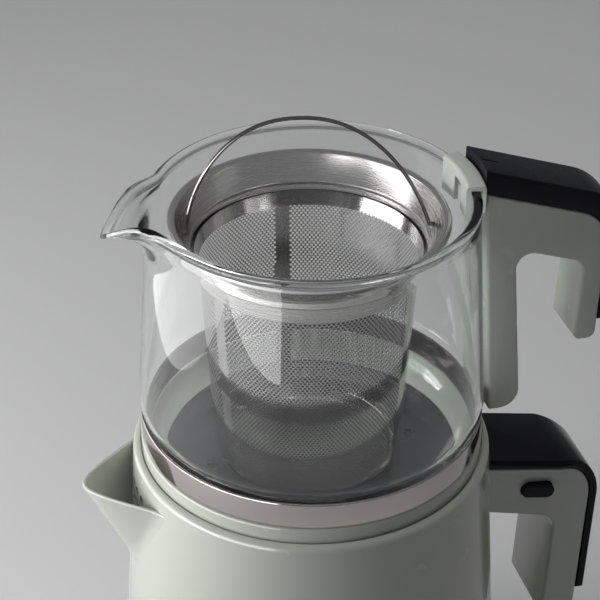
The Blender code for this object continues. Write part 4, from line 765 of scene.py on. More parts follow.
def kettle_outline():
    """The body's section: skirt, painted cone, shoulder, mouth, water space and heater ledge."""
    ledge = HEATER_TOP - HEATER_THICKNESS - GAP
    neck = MOUTH_SEAT - MOUTH_THICKNESS
    low = kettle_radius(KETTLE_BOTTOM) - KETTLE_WALL
    at_ledge = kettle_radius(ledge) - KETTLE_WALL
    outside = rounded([(low, KETTLE_BOTTOM), (KETTLE_BOTTOM_RADIUS, KETTLE_BOTTOM, SKIRT_ROUND),
                       (KETTLE_TOP_RADIUS, KETTLE_RIM, SHOULDER_ROUND), (SHOULDER_RIM_RADIUS, KETTLE_RIM)])
    inside = rounded([(SHOULDER_RIM_RADIUS, KETTLE_RIM), (SHOULDER_RIM_RADIUS, MOUTH_SEAT),
                      (MOUTH_RADIUS, MOUTH_SEAT, MOUTH_ROUND), (MOUTH_RADIUS, neck),
                      (kettle_radius(neck - SHOULDER_ROUND) - KETTLE_WALL, neck - SHOULDER_ROUND, NECK_ROUND),
                      (at_ledge, ledge), (at_ledge - HEATER_LEDGE, ledge),
                      (at_ledge - HEATER_LEDGE, ledge - HEATER_LEDGE), (at_ledge, ledge - HEATER_LEDGE),
                      (low, KETTLE_BOTTOM)])
    return outside + inside[1:-1]


def pour_holes():
    holes = []
    radius = kettle_radius(BEAK_TOP)
    for row, count in enumerate(POUR_HOLE_ROWS):
        for column in range(count):
            angle = pi + (column - (count - 1) / 2) * POUR_HOLE_PITCH / radius
            z = BEAK_TOP - POUR_HOLE_DROP - POUR_HOLE_PITCH * row
            drill = spin(angle) @ shift(0, 0, z) @ spin(pi / 2, "Y")
            holes.append(placed(cylinder_mesh(POUR_HOLE_RADIUS, kettle_radius(z) - 3 * KETTLE_WALL,
                                              kettle_radius(z) + KETTLE_WALL, steps=24), drill))
    return joined_mesh(holes)


def kettle_shell():
    body = combined(turned_mesh(kettle_outline()), pour_holes())
    dress("kettle_shell", joined_mesh([body, spout_mesh()], 40), "kettle", "sage_paint", ["kettle_body"])


def heating_plate():
    radius = kettle_radius(HEATER_TOP) - KETTLE_WALL - GAP
    low, dish = HEATER_TOP - HEATER_THICKNESS, HEATER_TOP - HEATER_DISH
    wide, slim = (radius * share for share in HEATER_DISH_SHARES)
    outline = rounded([(0, low), (radius, low), (radius, HEATER_TOP, HEATER_EDGE), (wide, HEATER_TOP),
                       (slim, dish, HEATER_DISH), (0, dish)], 4)
    dress("heating_disc", turned_mesh(outline), "kettle", "steel", ["heating_plate"])


def arm_top_corners():
    """The kettle arm's painted top, from inside the body, over the outer corner and down the grip."""
    body = kettle_radius(KETTLE_BOTTOM + ARM_TOP)
    start = body - ARM_COVER_THICKNESS * 2
    outer = GRIP_INNER + GRIP_THICKNESS
    level = KETTLE_BOTTOM + ARM_TOP - ARM_COVER_THICKNESS
    fall = tan(ARM_SLOPE)
    return [(start, level + (body - start) * fall), (outer, level - (outer - body) * fall, GRIP_CORNER),
            (outer - GRIP_LEAN, KETTLE_BOTTOM + GRIP_BOTTOM, GRIP_FOOT_ROUND)]


def arm_outline():
    top = arm_top_corners()
    start = top[0][0]
    under = top[0][1] - ARM_DEPTH
    fall = tan(ARM_UNDER_SLOPE)
    return rounded(top + [(GRIP_INNER - GRIP_LEAN, KETTLE_BOTTOM + GRIP_BOTTOM, GRIP_FOOT_ROUND),
                          (GRIP_INNER, under - (GRIP_INNER - start) * fall, GRIP_INNER_ROUND),
                          (start, under)])


def cover_outline(corners, thickness):
    """A strip of even thickness that lies on a handle's painted top and ends above the grip's foot."""
    path = rounded(corners[:2] + [corners[2][:2]])
    last, before = Vector(path[-1]), Vector(path[-2])
    path[-1] = tuple(last + (before - last) * COVER_END_SHARE)
    return offset_path(path, GAP) + offset_path(path, GAP + thickness)[::-1]


def narrow_grip(mesh, wide, slim, start, end):
    for vertex in mesh.vertices:
        vertex.co.y *= 1 + (slim / wide - 1) * ease((vertex.co.x - start) / (end - start))
    mesh.update()


def side_button_mesh(grow, inner, outer):
    radius = SIDE_BUTTON_HEIGHT / 2 + grow
    body = kettle_radius(KETTLE_BOTTOM + ARM_TOP)
    centre_x = SIDE_BUTTON_START + SIDE_BUTTON_LENGTH / 2
    centre_z = (KETTLE_BOTTOM + ARM_TOP - ARM_COVER_THICKNESS - SIDE_BUTTON_DROP
                - (centre_x - body) * tan(ARM_SLOPE))
    half = SIDE_BUTTON_LENGTH / 2 - SIDE_BUTTON_HEIGHT / 2
    outline = (arc_points((half, 0), radius, -pi / 2, pi / 2, 20)
               + arc_points((-half, 0), radius, pi / 2, pi * 1.5, 20))
    mesh = prism_mesh(outline, (outer - inner) / 2, 0.0 if grow else SIDE_BUTTON_EDGE)
    return placed(mesh, shift(centre_x, -(inner + outer) / 2, centre_z) @ spin(ARM_SLOPE, "Y"))


def kettle_clearance():
    low, high = KETTLE_BOTTOM - GAP, KETTLE_RIM + GAP
    return turned_mesh(rounded([(0, low), (KETTLE_BOTTOM_RADIUS + GAP, low, SKIRT_ROUND),
                                (KETTLE_TOP_RADIUS + GAP, high, SHOULDER_ROUND), (0, high)]))


def kettle_handle():
    start, end = KETTLE_TOP_RADIUS + SIDE_BUTTON_LENGTH * 2, GRIP_INNER + GRIP_THICKNESS
    face = ARM_HALF_WIDTH - SIDE_BUTTON_DEPTH
    pocket = side_button_mesh(GAP, face - SIDE_BUTTON_TRAVEL - GAP, ARM_HALF_WIDTH + KETTLE_WALL)
    for name, outline, cutters, finish, node in (
            ("kettle_grip", arm_outline(), [pocket], "sage_paint", "kettle_handle"),
            ("kettle_grip_cover", cover_outline(arm_top_corners(), ARM_COVER_THICKNESS), [], "black_gloss",
             "kettle_handle_cover")):
        mesh = prism_mesh(outline, ARM_HALF_WIDTH, HANDLE_EDGE)
        narrow_grip(mesh, ARM_HALF_WIDTH, GRIP_HALF_WIDTH, start, end)
        dress(name, combined(mesh, kettle_clearance(), *cutters), "kettle", finish, [node])
    dress("side_button_cap", side_button_mesh(0.0, face, ARM_HALF_WIDTH + SIDE_BUTTON_PROUD), "side_button",
          "black_gloss", ["kettle_side_button"])


# Kettle lid

def heel_arc(radius, start, end, parts):
    """Part of the glass heel's arc, or of one parallel to it, by angle below the horizontal."""
    centre = (GLASS_BOTTOM_RADIUS - GLASS_HEEL, GLASS_FOOT + GLASS_HEEL)
    return arc_points(centre, radius, -start, -end, parts)


def seat_angle(radius):
    return acos((radius - GLASS_BOTTOM_RADIUS + GLASS_HEEL) / (GLASS_HEEL + GAP))


def kettle_lid():
    """The painted ring that carries the teapot, and its dark dished plate with steam vents."""
    seat = GLASS_HEEL + GAP
    start = asin((GLASS_FOOT + GLASS_HEEL - LID_TOP) / seat)
    bowl = heel_arc(seat, start, seat_angle(LID_PLATE_RADIUS), 16)
    plug_bottom = LID_BOTTOM - LID_PLUG_DEPTH
    plate_top = GLASS_FOOT - GAP
    plate_bottom = plate_top - LID_PLATE_THICKNESS
    ledge = plate_bottom - GAP
    outer = rounded([(LID_RING_RADIUS, LID_BOTTOM, LID_LOW_EDGE), (LID_RING_RADIUS, LID_TOP, LID_HIGH_EDGE),
                     bowl[0], (LID_PLATE_RADIUS, LID_BOTTOM)], 8)[:-2]
    lip = LID_PLATE_RADIUS - LID_PLUG_WALL
    skirt = LID_PLUG_RADIUS - LID_PLUG_WALL
    inner = [(LID_PLATE_RADIUS, ledge), (lip, ledge), (lip, ledge - LID_PLUG_WALL),
             (skirt, ledge - LID_PLUG_WALL), (skirt, plug_bottom), (LID_PLUG_RADIUS, plug_bottom),
             (LID_PLUG_RADIUS, LID_BOTTOM)]
    dress("lid_ring", turned_mesh(outer + bowl + inner), "kettle_lid", "sage_paint", ["kettle_lid_ring"])
    radius = LID_PLATE_RADIUS - GAP
    dish = heel_arc(seat, seat_angle(radius), pi / 2, 16)
    plate = turned_mesh([(0, plate_bottom), (radius, plate_bottom)] + dish + [(0, plate_top)])
    vent = cylinder_mesh(VENT_RADIUS, plate_bottom - GAP, plate_top + GAP, (VENT_CIRCLE, 0), 32)
    plate = combined(plate, joined_mesh(ring_of(vent, VENT_COUNT)))
    dress("lid_plate", plate, "kettle_lid", "dark_plate", ["kettle_lid_plate"])


# Teapot

def glass_radius(z):
    """The wall's outer radius: held in by the band, wider just above it and narrower towards the neck."""
    high = RIM_LEVEL - NECK_DROP
    belly = BAND_TOP + BELLY_STEP
    line = BELLY_RADIUS + (NECK_RADIUS - BELLY_RADIUS) * (z - belly) / (high - belly)
    return GLASS_BOTTOM_RADIUS + (line - GLASS_BOTTOM_RADIUS) * ease((z - BAND_TOP) / BELLY_STEP)


def lip_pull(x, y, z):
    """How far out and up the glass is drawn at a point near the teapot's spout."""
    away = acos(max(-1.0, min(1.0, -x / max(hypot(x, y), 1e-9)))) / LIP_HALF_ANGLE
    depth = min((z - (RIM_LEVEL - LIP_DEPTH)) / LIP_DEPTH, 1.0)
    if away >= 1 or depth <= 0:
        return 0.0, 0.0
    blunt = (hypot(away, LIP_BLUNT) - LIP_BLUNT) / (hypot(1, LIP_BLUNT) - LIP_BLUNT)
    out = LIP_REACH * (1 - blunt) ** LIP_POWER * depth ** LIP_FADE
    hump = LIP_HUMP * sin(pi * away) ** 2 * depth ** 6
    droop = LIP_DROOP * max(1 - away / LIP_DROOP_SHARE, 0) ** 1.5 * depth ** 4
    return out, hump - droop


def glass_outline():
    """The glass wall's section, from the heel up the outside, over the bead and down the inside."""
    high = RIM_LEVEL - NECK_DROP
    levels = [BAND_TOP + (high - BAND_TOP) * k / 48 for k in range(49)]
    bead = arc_points((RIM_RADIUS, RIM_LEVEL), RIM_BEAD, -pi / 3, pi * 4 / 3, 24)
    neck_out = line_points((NECK_RADIUS, high), bead[0], 4)
    neck_in = line_points(bead[-1], (NECK_RADIUS - GLASS_WALL, high), 4)
    floor_level = GLASS_FOOT + GLASS_FLOOR
    heel = (GLASS_BOTTOM_RADIUS - GLASS_WALL - HEEL_INSIDE, floor_level + HEEL_INSIDE)
    floor = arc_points(heel, HEEL_INSIDE, 0, -pi / 2, 24)
    return ([(0, GLASS_FOOT)] + heel_arc(GLASS_HEEL, pi / 2, 0, 26)
            + [(glass_radius(z), z) for z in levels] + neck_out + bead + neck_in
            + [(glass_radius(z) - GLASS_WALL, z) for z in reversed(levels)] + floor + [(0, floor_level)])


def glass_pot():
    mesh = turned_mesh(glass_outline(), 288, 60)
    for vertex in mesh.vertices:
        x, y, z = vertex.co
        out, up = lip_pull(x, y, z)
        if out or up:
            grow = 1 + out / hypot(x, y)
            vertex.co = Vector((x * grow, y * grow * (1 - out / LIP_REACH * LIP_NARROWING), z + up))
    mesh.update()
    dress("glass_pot", mesh, "teapot", "clear_glass", ["teapot_glass"])


def leg_inner(z):
    low = GLASS_FOOT + POT_LEG_FOOT
    return POT_LEG_BOTTOM + (POT_LEG_TOP - POT_LEG_BOTTOM) * (z - low) / (RIM_LEVEL - CLIP_OUTER_LEG - low)


def teapot_band():
    """The polished band round the glass, its overlapped seam and the tab behind the handle's foot."""
    inner = GLASS_BOTTOM_RADIUS + GAP
    outer = inner + BAND_THICKNESS
    bottom = GLASS_FOOT + BAND_BOTTOM
    band = turned_mesh(rounded([(inner, bottom), (outer, bottom, BAND_LOW_EDGE),
                                (outer, BAND_TOP, BAND_HIGH_EDGE), (inner, BAND_TOP)], 5))
    seam = box_mesh((outer - BAND_SEAM_DEPTH, -BAND_SEAM_HALF_WIDTH, bottom - MM),
                    (outer + MM, BAND_SEAM_HALF_WIDTH, BAND_TOP + MM))
    band = combined(band, placed(seam, spin(BAND_SEAM_TURN)))
    level, half = bottom + BAND_WIDTH / 2, BRACKET_HEIGHT / 2
    tab = box_mesh((outer - BAND_THICKNESS / 2, -BRACKET_HALF_WIDTH, level - half),
                   (leg_inner(level + half) - GAP, BRACKET_HALF_WIDTH, level + half), BRACKET_EDGE)
    # the band's steel is darkened and warmed for what it reflects: painted dark reflection
    dress("steel_band", joined_mesh([band, tab]), "teapot", "polished_steel", ["teapot_band"])


def pot_top_corners():
    outer = POT_GRIP_INNER + POT_GRIP_THICKNESS
    fall = tan(POT_ARM_SLOPE)
    return [(POT_LEG_TOP, POT_ARM_LEVEL), (outer, POT_ARM_LEVEL - (outer - POT_LEG_TOP) * fall, POT_CORNER),
            (outer - POT_GRIP_LEAN, GLASS_FOOT + POT_GRIP_BOTTOM, POT_GRIP_ROUND)]


def pot_handle_outline():
    fall = tan(POT_ARM_SLOPE)
    foot = GLASS_FOOT + POT_LEG_FOOT
    leg_outer_top = POT_LEG_TOP + POT_LEG_THICKNESS
    under = POT_ARM_LEVEL - POT_ARM_DEPTH
    inner = POT_GRIP_INNER
    return rounded(pot_top_corners() + [
        (inner - POT_GRIP_LEAN, GLASS_FOOT + POT_GRIP_BOTTOM, POT_GRIP_ROUND),
        (inner, under - (inner - POT_LEG_TOP) * fall, POT_GAP_ROUND),
        (leg_outer_top, under - POT_LEG_THICKNESS * fall, POT_GAP_ROUND),
        (POT_LEG_BOTTOM + POT_LEG_THICKNESS, foot, POT_LEG_ROUND), (POT_LEG_BOTTOM, foot, HANDLE_EDGE),
        (POT_LEG_TOP, RIM_LEVEL - CLIP_OUTER_LEG)])


def teapot_handle():
    handle = prism_mesh(pot_handle_outline(), POT_HANDLE_HALF_WIDTH, HANDLE_EDGE)
    dress("pot_grip", handle, "teapot", "sage_paint", ["teapot_handle"])
    (start, top), *rest = pot_top_corners()
    inward = (start - POT_COVER_REACH, top + POT_COVER_REACH * tan(POT_ARM_SLOPE))
    cover = prism_mesh(cover_outline([inward, *rest], POT_COVER_THICKNESS),
                       POT_HANDLE_HALF_WIDTH, HANDLE_EDGE)
    cover = combined(cover, cylinder_mesh(POT_LEG_TOP, RIM_LEVEL - CLIP_LEG,
                                          RIM_LEVEL + 2 * POT_COVER_THICKNESS, steps=TURN_STEPS))
    inner_end = SLIT_START - POT_COVER_THICKNESS * tan(POT_ARM_SLOPE)
    slit = box_mesh((inner_end, -SLIT_WIDTH / 2, POT_COVER_THICKNESS - SLIT_DEPTH),
                    (inner_end + SLIT_LENGTH, SLIT_WIDTH / 2, POT_COVER_THICKNESS + KETTLE_WALL))
    slit.transform(shift(POT_LEG_TOP, 0, POT_ARM_LEVEL) @ spin(POT_ARM_SLOPE, "Y"))
    dress("pot_grip_cover", combined(cover, slit), "teapot", "satin_black", ["teapot_handle_cover"])


def rim_clip():
    """The saddle that hooks the handle over the glass rim, with two short legs inside the glass."""
    inside, outside = RIM_RADIUS - RIM_BEAD - GAP, RIM_RADIUS + RIM_BEAD + GAP
    leg, face = inside - CLIP_WALL, POT_LEG_TOP - GAP
    foot, hook = RIM_LEVEL - CLIP_LEG, RIM_LEVEL - CLIP_OUTER_LEG
    top = RIM_LEVEL + RIM_BEAD + GAP
    roof = top + CLIP_WALL
    clip = sector_mesh(rounded([(inside, foot), (inside, top), (outside, top), (outside, hook), (face, hook),
                                (face, roof, CLIP_OUTER_EDGE), (leg, roof, CLIP_INNER_EDGE), (leg, foot)], 6),
                       CLIP_HALF_ANGLE, 32)
    near, far = inside - 3 * CLIP_WALL, inside + GAP / 2
    notch = sector_mesh([(near, foot - MM), (far, foot - MM), (far, RIM_LEVEL), (near, RIM_LEVEL)],
                        CLIP_NOTCH_HALF_ANGLE, 6)
    # the saddle wears a lighter copy of its sage paint, for the light on its top: painted light
    dress("rim_saddle", combined(clip, notch), "teapot", "sage_paint", ["teapot_rim_clip"],
          material="clip_paint_painted_light")


# Infuser

def infuser_flange():
    """The rolled edge, the funnel, the step and the collar that the basket is welded into."""
    edge = FLANGE_RADIUS - FLANGE_BEAD
    step = [(COLLAR_RADIUS + out * MM, CONE_FOOT + up * MM, radius * MM) for out, up, radius in FLANGE_STEP]
    upper = rounded([(edge - FLANGE_BEAD, FLANGE_LEVEL), *step, (COLLAR_FOOT, CONE_FOOT - COLLAR_DEPTH)], 5)
    bead = arc_points((edge, FLANGE_LEVEL), FLANGE_BEAD, pi, FLANGE_BEAD_END, 20)
    lower = offset_path(upper, FLANGE_WALL)
    lower = [point for point in lower if point[1] < FLANGE_LEVEL - FLANGE_BEAD]
    flange = turned_mesh(upper[::-1] + bead[1:] + lower)
    drill = placed(cylinder_mesh(BAIL_HOLE_RADIUS, COLLAR_RADIUS - MM, FLANGE_RADIUS - MM, steps=24),
                   shift(0, 0, FLANGE_LEVEL - BAIL_PIVOT_DROP) @ spin(pi / 2, "Y"))
    dress("funnel", combined(flange, joined_mesh(ring_of(drill, 2))), "infuser", "steel",
          ["infuser_flange"], INFUSER_PLACE)


def basket_radius(z):
    """Conical inside the collar, then less so, and drawn in a little more towards the foot."""
    neck = CONE_FOOT - COLLAR_DEPTH
    if z > neck:
        return BASKET_MOUTH + (z - neck) / COLLAR_DEPTH * BASKET_FLARE
    share = (neck - z) / (neck - BASKET_FLOOR)
    return BASKET_MOUTH + (BASKET_FOOT_RADIUS - BASKET_MOUTH) * (
        BASKET_TAPER * share + (1 - BASKET_TAPER) * share * share)


def basket_profile(along):
    """Radius and height of the basket's skin, down the wall and round its bottom corner, by distance."""
    wall = BASKET_TOP - BASKET_FLOOR - BASKET_CORNER
    if along <= wall:
        return basket_radius(BASKET_TOP - along), BASKET_TOP - along
    turn = (along - wall) / BASKET_CORNER
    centre = basket_radius(BASKET_FLOOR + BASKET_CORNER) - BASKET_CORNER
    if turn <= pi / 2:
        return centre + BASKET_CORNER * cos(turn), BASKET_FLOOR + BASKET_CORNER * (1 - sin(turn))
    return centre - (turn - pi / 2) * BASKET_CORNER, BASKET_FLOOR


def in_plain_strip(angle, radius):
    for strip in PLAIN_STRIPS:
        away = (angle - strip + pi) % (2 * pi) - pi
        if abs(away) * radius < PLAIN_STRIP_HALF_WIDTH:
            return True
    return False


def basket_floor(bm, rim):
    """The flat floor in rings of cells with holes, each ring with as many cells as fit."""
    outer = hypot(rim[0].x, rim[0].y)
    count = int(outer / HOLE_ROW)
    for ring in range(count):
        far, near = outer - ring * HOLE_ROW, outer - (ring + 1) * HOLE_ROW
        middle = (far + near) / 2
        cells = max(int(2 * pi * middle / HOLE_ROW), 6)
        for cell in range(cells):
            start, end = 2 * pi * cell / cells, 2 * pi * (cell + 1) / cells
            frame_ring = [bm.verts.new(polar(*corner, BASKET_FLOOR)) for corner in (
                (far, start), (far, end), (near, end), (near, start))]
            centre = Vector(polar(middle, (start + end) / 2, BASKET_FLOOR))
            hole = [bm.verts.new(centre + (vertex.co - centre) * HOLE_SHARE) for vertex in frame_ring]
            join_rings(bm, frame_ring, hole)
    centre_cap = outer - count * HOLE_ROW
    bm.faces.new([bm.verts.new(polar(centre_cap, k * pi / 4, BASKET_FLOOR)) for k in range(8)])


def infuser_basket():
    """The perforated wall: a brick lattice of cells, each with a round hole, and plain strips between."""
    bm = bmesh.new()
    reach = BASKET_TOP - BASKET_FLOOR - BASKET_CORNER + BASKET_CORNER * pi / 2
    rows = int(reach / HOLE_ROW)
    plain_rows = int(BASKET_PLAIN_TOP / HOLE_ROW)
    step = pi / HOLE_COLUMNS

    def point(angle, along):
        radius, z = basket_profile(along)
        return bm.verts.new(polar(radius, angle, z))

    borders = [[point(k * step, row * HOLE_ROW) for k in range(2 * HOLE_COLUMNS)] for row in range(rows + 1)]
    for row in range(rows):
        radius = basket_profile((row + 0.5) * HOLE_ROW)[0]
        for column in range(HOLE_COLUMNS):
            first = 2 * column + row % 2
            ks = [(first + i) % (2 * HOLE_COLUMNS) for i in range(3)]
            upper = [borders[row][k] for k in ks]
            lower = [borders[row + 1][k] for k in ks]
            middle = (first + 1) * step
            if row < plain_rows or row >= rows - 1 or in_plain_strip(middle, radius):
                bm.faces.new((upper[0], upper[1], lower[1], lower[0]))
                bm.faces.new((upper[1], upper[2], lower[2], lower[1]))
                continue
            hole = []
            for corner in range(6):
                turn = radians(150 - 60 * corner)
                hole.append(point(middle + HOLE_RADIUS * HOLE_STRETCH * cos(turn) / radius,
                                  (row + 0.5) * HOLE_ROW - HOLE_RADIUS * sin(turn)))
            outer = upper + lower[::-1]
            for i in range(6):
                j = (i + 1) % 6
                bm.faces.new((outer[i], outer[j], hole[j], hole[i]))
    basket_floor(bm, [vertex.co.copy() for vertex in borders[rows]])
    dress("mesh_basket", mesh_from(bm, 60), "infuser", "steel", ["infuser_basket", "infuser_floor"],
          INFUSER_PLACE, "mesh_steel")


def infuser_bail():
    """The hoop handle, whose two ends run out through the funnel and turn down behind it."""
    outer = FLANGE_RADIUS - 2 * FLANGE_BEAD
    end = [(outer + out * MM, 0, up * MM) for out, up in BAIL_HOOK]
    hoop = []
    for step in range(65):
        angle = pi * step / 64
        along = abs(cos(angle)) ** BAIL_POWERS[0] * copysign(1, cos(angle))
        hoop.append((BAIL_SPAN * along - BAIL_LEAN * sin(angle), 0,
                     BAIL_HEIGHT * sin(angle) ** BAIL_POWERS[1]))
    route = end + hoop + [(-x, y, z) for x, y, z in reversed(end)]
    place = INFUSER_PLACE @ shift(0, 0, FLANGE_LEVEL - BAIL_PIVOT_DROP)
    # the bail wears a darkened copy of the steel: painted dark reflection
    dress("bail_wire", tube_mesh(route, BAIL_WIRE), "bail", "steel", ["infuser_bail"], place, "wire_steel_painted_dark_reflection")


# Power base

def panel_matrix():
    """The middle of the tongue's sloping face, with Z square to the face."""
    run = TONGUE_REACH - TONGUE_BREAK
    fall = TONGUE_TOP - TONGUE_NOSE
    middle = (TONGUE_BREAK + run / 2, 0, FOOT_HEIGHT + TONGUE_NOSE + fall / 2)
    return shift(*middle) @ spin(atan2(fall, run), "Y")


def tongue_outline(inset=0.0, floor=0.0):
    bottom = BASE_BOTTOM + floor
    fall = atan2(TONGUE_TOP - TONGUE_NOSE, TONGUE_REACH - TONGUE_BREAK)
    lift = inset / cos(fall)
    nose = FOOT_HEIGHT + TONGUE_NOSE + inset * tan(fall) - lift
    return [(TONGUE_ROOT, bottom), (TONGUE_REACH - inset, bottom), (TONGUE_REACH - inset, nose),
            (TONGUE_BREAK, FOOT_HEIGHT + TONGUE_TOP - lift), (TONGUE_ROOT, FOOT_HEIGHT + TONGUE_TOP - lift)]


def gland_matrix():
    level = BASE_BOTTOM + (BASE_TOP - BASE_BOTTOM) / 2
    return shift(BASE_WALL - BASE_RADIUS, 0, level) @ spin(-pi / 2, "Y")


def base_housing():
    """The round painted housing with the sloping tongue that carries the control panel."""
    housing = turned_mesh(rounded([(0, BASE_BOTTOM), (BASE_RADIUS, BASE_BOTTOM, GAP),
                                   (BASE_RADIUS, BASE_TOP, BASE_EDGE), (0, BASE_TOP)]))
    tongue = prism_mesh(tongue_outline(), TONGUE_HALF_WIDTH, TONGUE_ROUND, 10)
    depth = PANEL_THICKNESS + GAP
    recess = box_mesh((-PANEL_LENGTH / 2 - GAP, -PANEL_HALF_WIDTH - GAP, -depth),
                      (PANEL_LENGTH / 2 + GAP, PANEL_HALF_WIDTH + GAP, MM))
    bores = [cylinder_mesh(BUTTON_STEM_RADIUS + GAP, -depth - 2 * TONGUE_WALL, MM, (0, y))
             for y in (-BUTTON_SPACING, BUTTON_SPACING)]
    housing = combined(
        combined(housing, tongue, operation="UNION"),
        cylinder_mesh(BASE_RADIUS - BASE_WALL, BASE_BOTTOM - MM, BASE_TOP - BASE_WALL, steps=TURN_STEPS),
        prism_mesh(tongue_outline(TONGUE_WALL, -MM), TONGUE_INSIDE),
        cylinder_mesh(CONNECTOR_RADIUS + GAP, BASE_TOP - 2 * BASE_WALL, BASE_TOP + MM),
        *(placed(cutter, panel_matrix()) for cutter in (recess, *bores)),
        placed(cylinder_mesh(GLAND_RADIUS + GAP, -MM, MM + BASE_WALL), gland_matrix()))
    dress("base_shell", housing, "power_base", "sage_paint", ["base_housing"])


def base_underside():
    top = BASE_BOTTOM + BASE_COVER_THICKNESS
    cover = cylinder_mesh(BASE_RADIUS - BASE_WALL - GAP, BASE_BOTTOM, top, steps=TURN_STEPS)
    flap = box_mesh((TONGUE_ROOT, GAP - TONGUE_INSIDE, BASE_BOTTOM),
                    (TONGUE_REACH - TONGUE_WALL - GAP, TONGUE_INSIDE - GAP, top))
    pocket, seat = (cylinder_mesh(radius + GAP, BASE_BOTTOM - MM, BASE_BOTTOM + depth, (FOOT_CIRCLE, 0))
                    for radius, depth in ((FOOT_RADIUS, FOOT_RECESS), (SCREW_RADIUS, SCREW_HEAD + GAP)))
    cover = combined(combined(cover, flap, operation="UNION"),
                     joined_mesh(ring_of(pocket, FOOT_COUNT, pi / FOOT_COUNT)),
                     joined_mesh(ring_of(seat, FOOT_COUNT)))
    dress("base_floor", cover, "power_base", "black_gloss", ["base_bottom_cover"])
    foot = turned_mesh(rounded([(0, 0), (FOOT_RADIUS, 0, FOOT_EDGE), (FOOT_RADIUS, FOOT_HEIGHT - GAP),
                                (0, FOOT_HEIGHT - GAP)]), SMALL_STEPS)
    for name, mesh, turn, slot, node in (
            ("base_foot", foot, pi / FOOT_COUNT, "rubber", "rubber_foot"),
            ("base_fixing", screw_mesh(BASE_BOTTOM), 0.0, "steel", "base_screw")):
        for index, made in enumerate(ring_of(placed(mesh, shift(FOOT_CIRCLE)), FOOT_COUNT, turn), 1):
            dress(f"{name}_{index}", made, "power_base", slot, [f"{node}_{index}"])


def screw_mesh(level):
    """A pan head with a cross slot, flush with a level, and its shank above."""
    seat, tip = level + SCREW_HEAD, level + SCREW_LENGTH
    head = turned_mesh(rounded([(0, level), (SCREW_RADIUS, level, SCREW_EDGE), (SCREW_RADIUS, seat),
                                (SCREW_SHANK, seat), (SCREW_SHANK, tip), (0, tip)], 5), 40)
    return combined(head, *(box_mesh((-x, -y, level - MM), (x, y, level + SLOT_DEPTH)) for x, y in (
        (SLOT_HALF_LENGTH, SLOT_HALF_WIDTH), (SLOT_HALF_WIDTH, SLOT_HALF_LENGTH))))


def base_fittings():
    flange = CONNECTOR_RADIUS + CONNECTOR_FLANGE
    under = BASE_TOP - BASE_WALL - GAP
    top = BASE_TOP + CONNECTOR_RISE
    groove = PIN_RADIUS + RING_GROOVE
    block = rounded([(0, under - CONNECTOR_FLOOR), (flange, under - CONNECTOR_FLOOR), (flange, under),
                     (CONNECTOR_RADIUS, under), (CONNECTOR_RADIUS, top, CONNECTOR_EDGE),
                     (groove, top, CONNECTOR_EDGE / 2), (groove, BASE_TOP), (PIN_RADIUS, BASE_TOP),
                     (PIN_RADIUS, top + PIN_RISE, CONNECTOR_EDGE), (0, top + PIN_RISE)], 6)
    dress("contact_block", turned_mesh(block, 96), "power_base", "connector_grey", ["base_connector"])
    on_panel = AXIS @ panel_matrix()
    plate = box_mesh((-PANEL_LENGTH / 2, -PANEL_HALF_WIDTH, -PANEL_THICKNESS),
                     (PANEL_LENGTH / 2, PANEL_HALF_WIDTH, 0), PANEL_EDGE)
    holes = ((BUTTON_STEM_RADIUS, -BUTTON_SPACING), (BUTTON_STEM_RADIUS, BUTTON_SPACING), (WINDOW_RADIUS, 0))
    plate = combined(plate, *(cylinder_mesh(radius + GAP, -MM - PANEL_THICKNESS, MM, (0, y))
                              for radius, y in holes))
    dress("panel_plate", plate, "power_base", "black_gloss", ["control_panel"], on_panel)
    lens = rounded([(0, -PANEL_THICKNESS), (WINDOW_RADIUS, -PANEL_THICKNESS),
                    (WINDOW_RADIUS, WINDOW_PROUD, WINDOW_PROUD * 0.9), (0, WINDOW_PROUD)], 6)
    dress("panel_lens", turned_mesh(lens, SMALL_STEPS), "power_base", "amber_window", ["pilot_window"],
          on_panel)
    cap_top = BUTTON_UNDERCUT + BUTTON_PROUD
    stem = -BUTTON_STEM_LENGTH - PANEL_THICKNESS
    cap = rounded([(0, stem), (BUTTON_STEM_RADIUS, stem), (BUTTON_STEM_RADIUS, BUTTON_UNDERCUT),
                   (BUTTON_RADIUS, BUTTON_UNDERCUT, GAP), (BUTTON_RADIUS, cap_top, BUTTON_EDGE),
                   (0, cap_top)], 6)
    for name, side in (("boil_button", -1), ("keep_warm_button", 1)):
        dress(name + "_cap", turned_mesh(cap, 96), name, "button_grey", [name],
              on_panel @ shift(0, side * BUTTON_SPACING))
    seat = -GAP - GLAND_SETBACK
    collar = GLAND_RADIUS + BASE_WALL
    outlet = rounded([(GLAND_BORE, seat - BASE_WALL), (collar, seat - BASE_WALL), (collar, seat),
                      (GLAND_RADIUS, seat), (GLAND_RADIUS, GLAND_LENGTH, MM),
                      (GLAND_BORE, GLAND_LENGTH, GAP)], 6)
    dress("cord_outlet", turned_mesh(outlet, SMALL_STEPS), "power_base", "rubber", ["cord_gland"],
          AXIS @ gland_matrix())


def rest_of_the_nodes():
    slots = {part["node"]: part["material_slot"] for part in frame["record"]["subparts"]}
    for name, item in frame["nodes"].items():
        if item.hide_render:
            continue
        item.data.materials.clear()
        item.data.materials.append(MATERIALS[slots[name]])


# Studio

def view_matrix():
    ahead = cos(CAMERA_PITCH)
    forward = Vector((sin(CAMERA_YAW) * ahead, cos(CAMERA_YAW) * ahead, -sin(CAMERA_PITCH)))
    right = forward.cross(Vector((0, 0, 1))).normalized()
    up = right.cross(forward)
    c, s = cos(CAMERA_ROLL), sin(CAMERA_ROLL)
    right, up = right * c + up * s, up * c - right * s
    turn = Matrix((right, up, -forward)).transposed().to_4x4()
    place = shift(0, -CAMERA_DISTANCE, RIM_LEVEL + CAMERA_RISE)
    return STUDIO @ place @ turn


def camera():
    data = bpy.data.cameras.new("camera")
    data.lens = CAMERA_LENS
    data.sensor_width = CAMERA_SENSOR
    item = add("camera", data)
    item.matrix_world = view_matrix()
    bpy.context.scene.camera = item


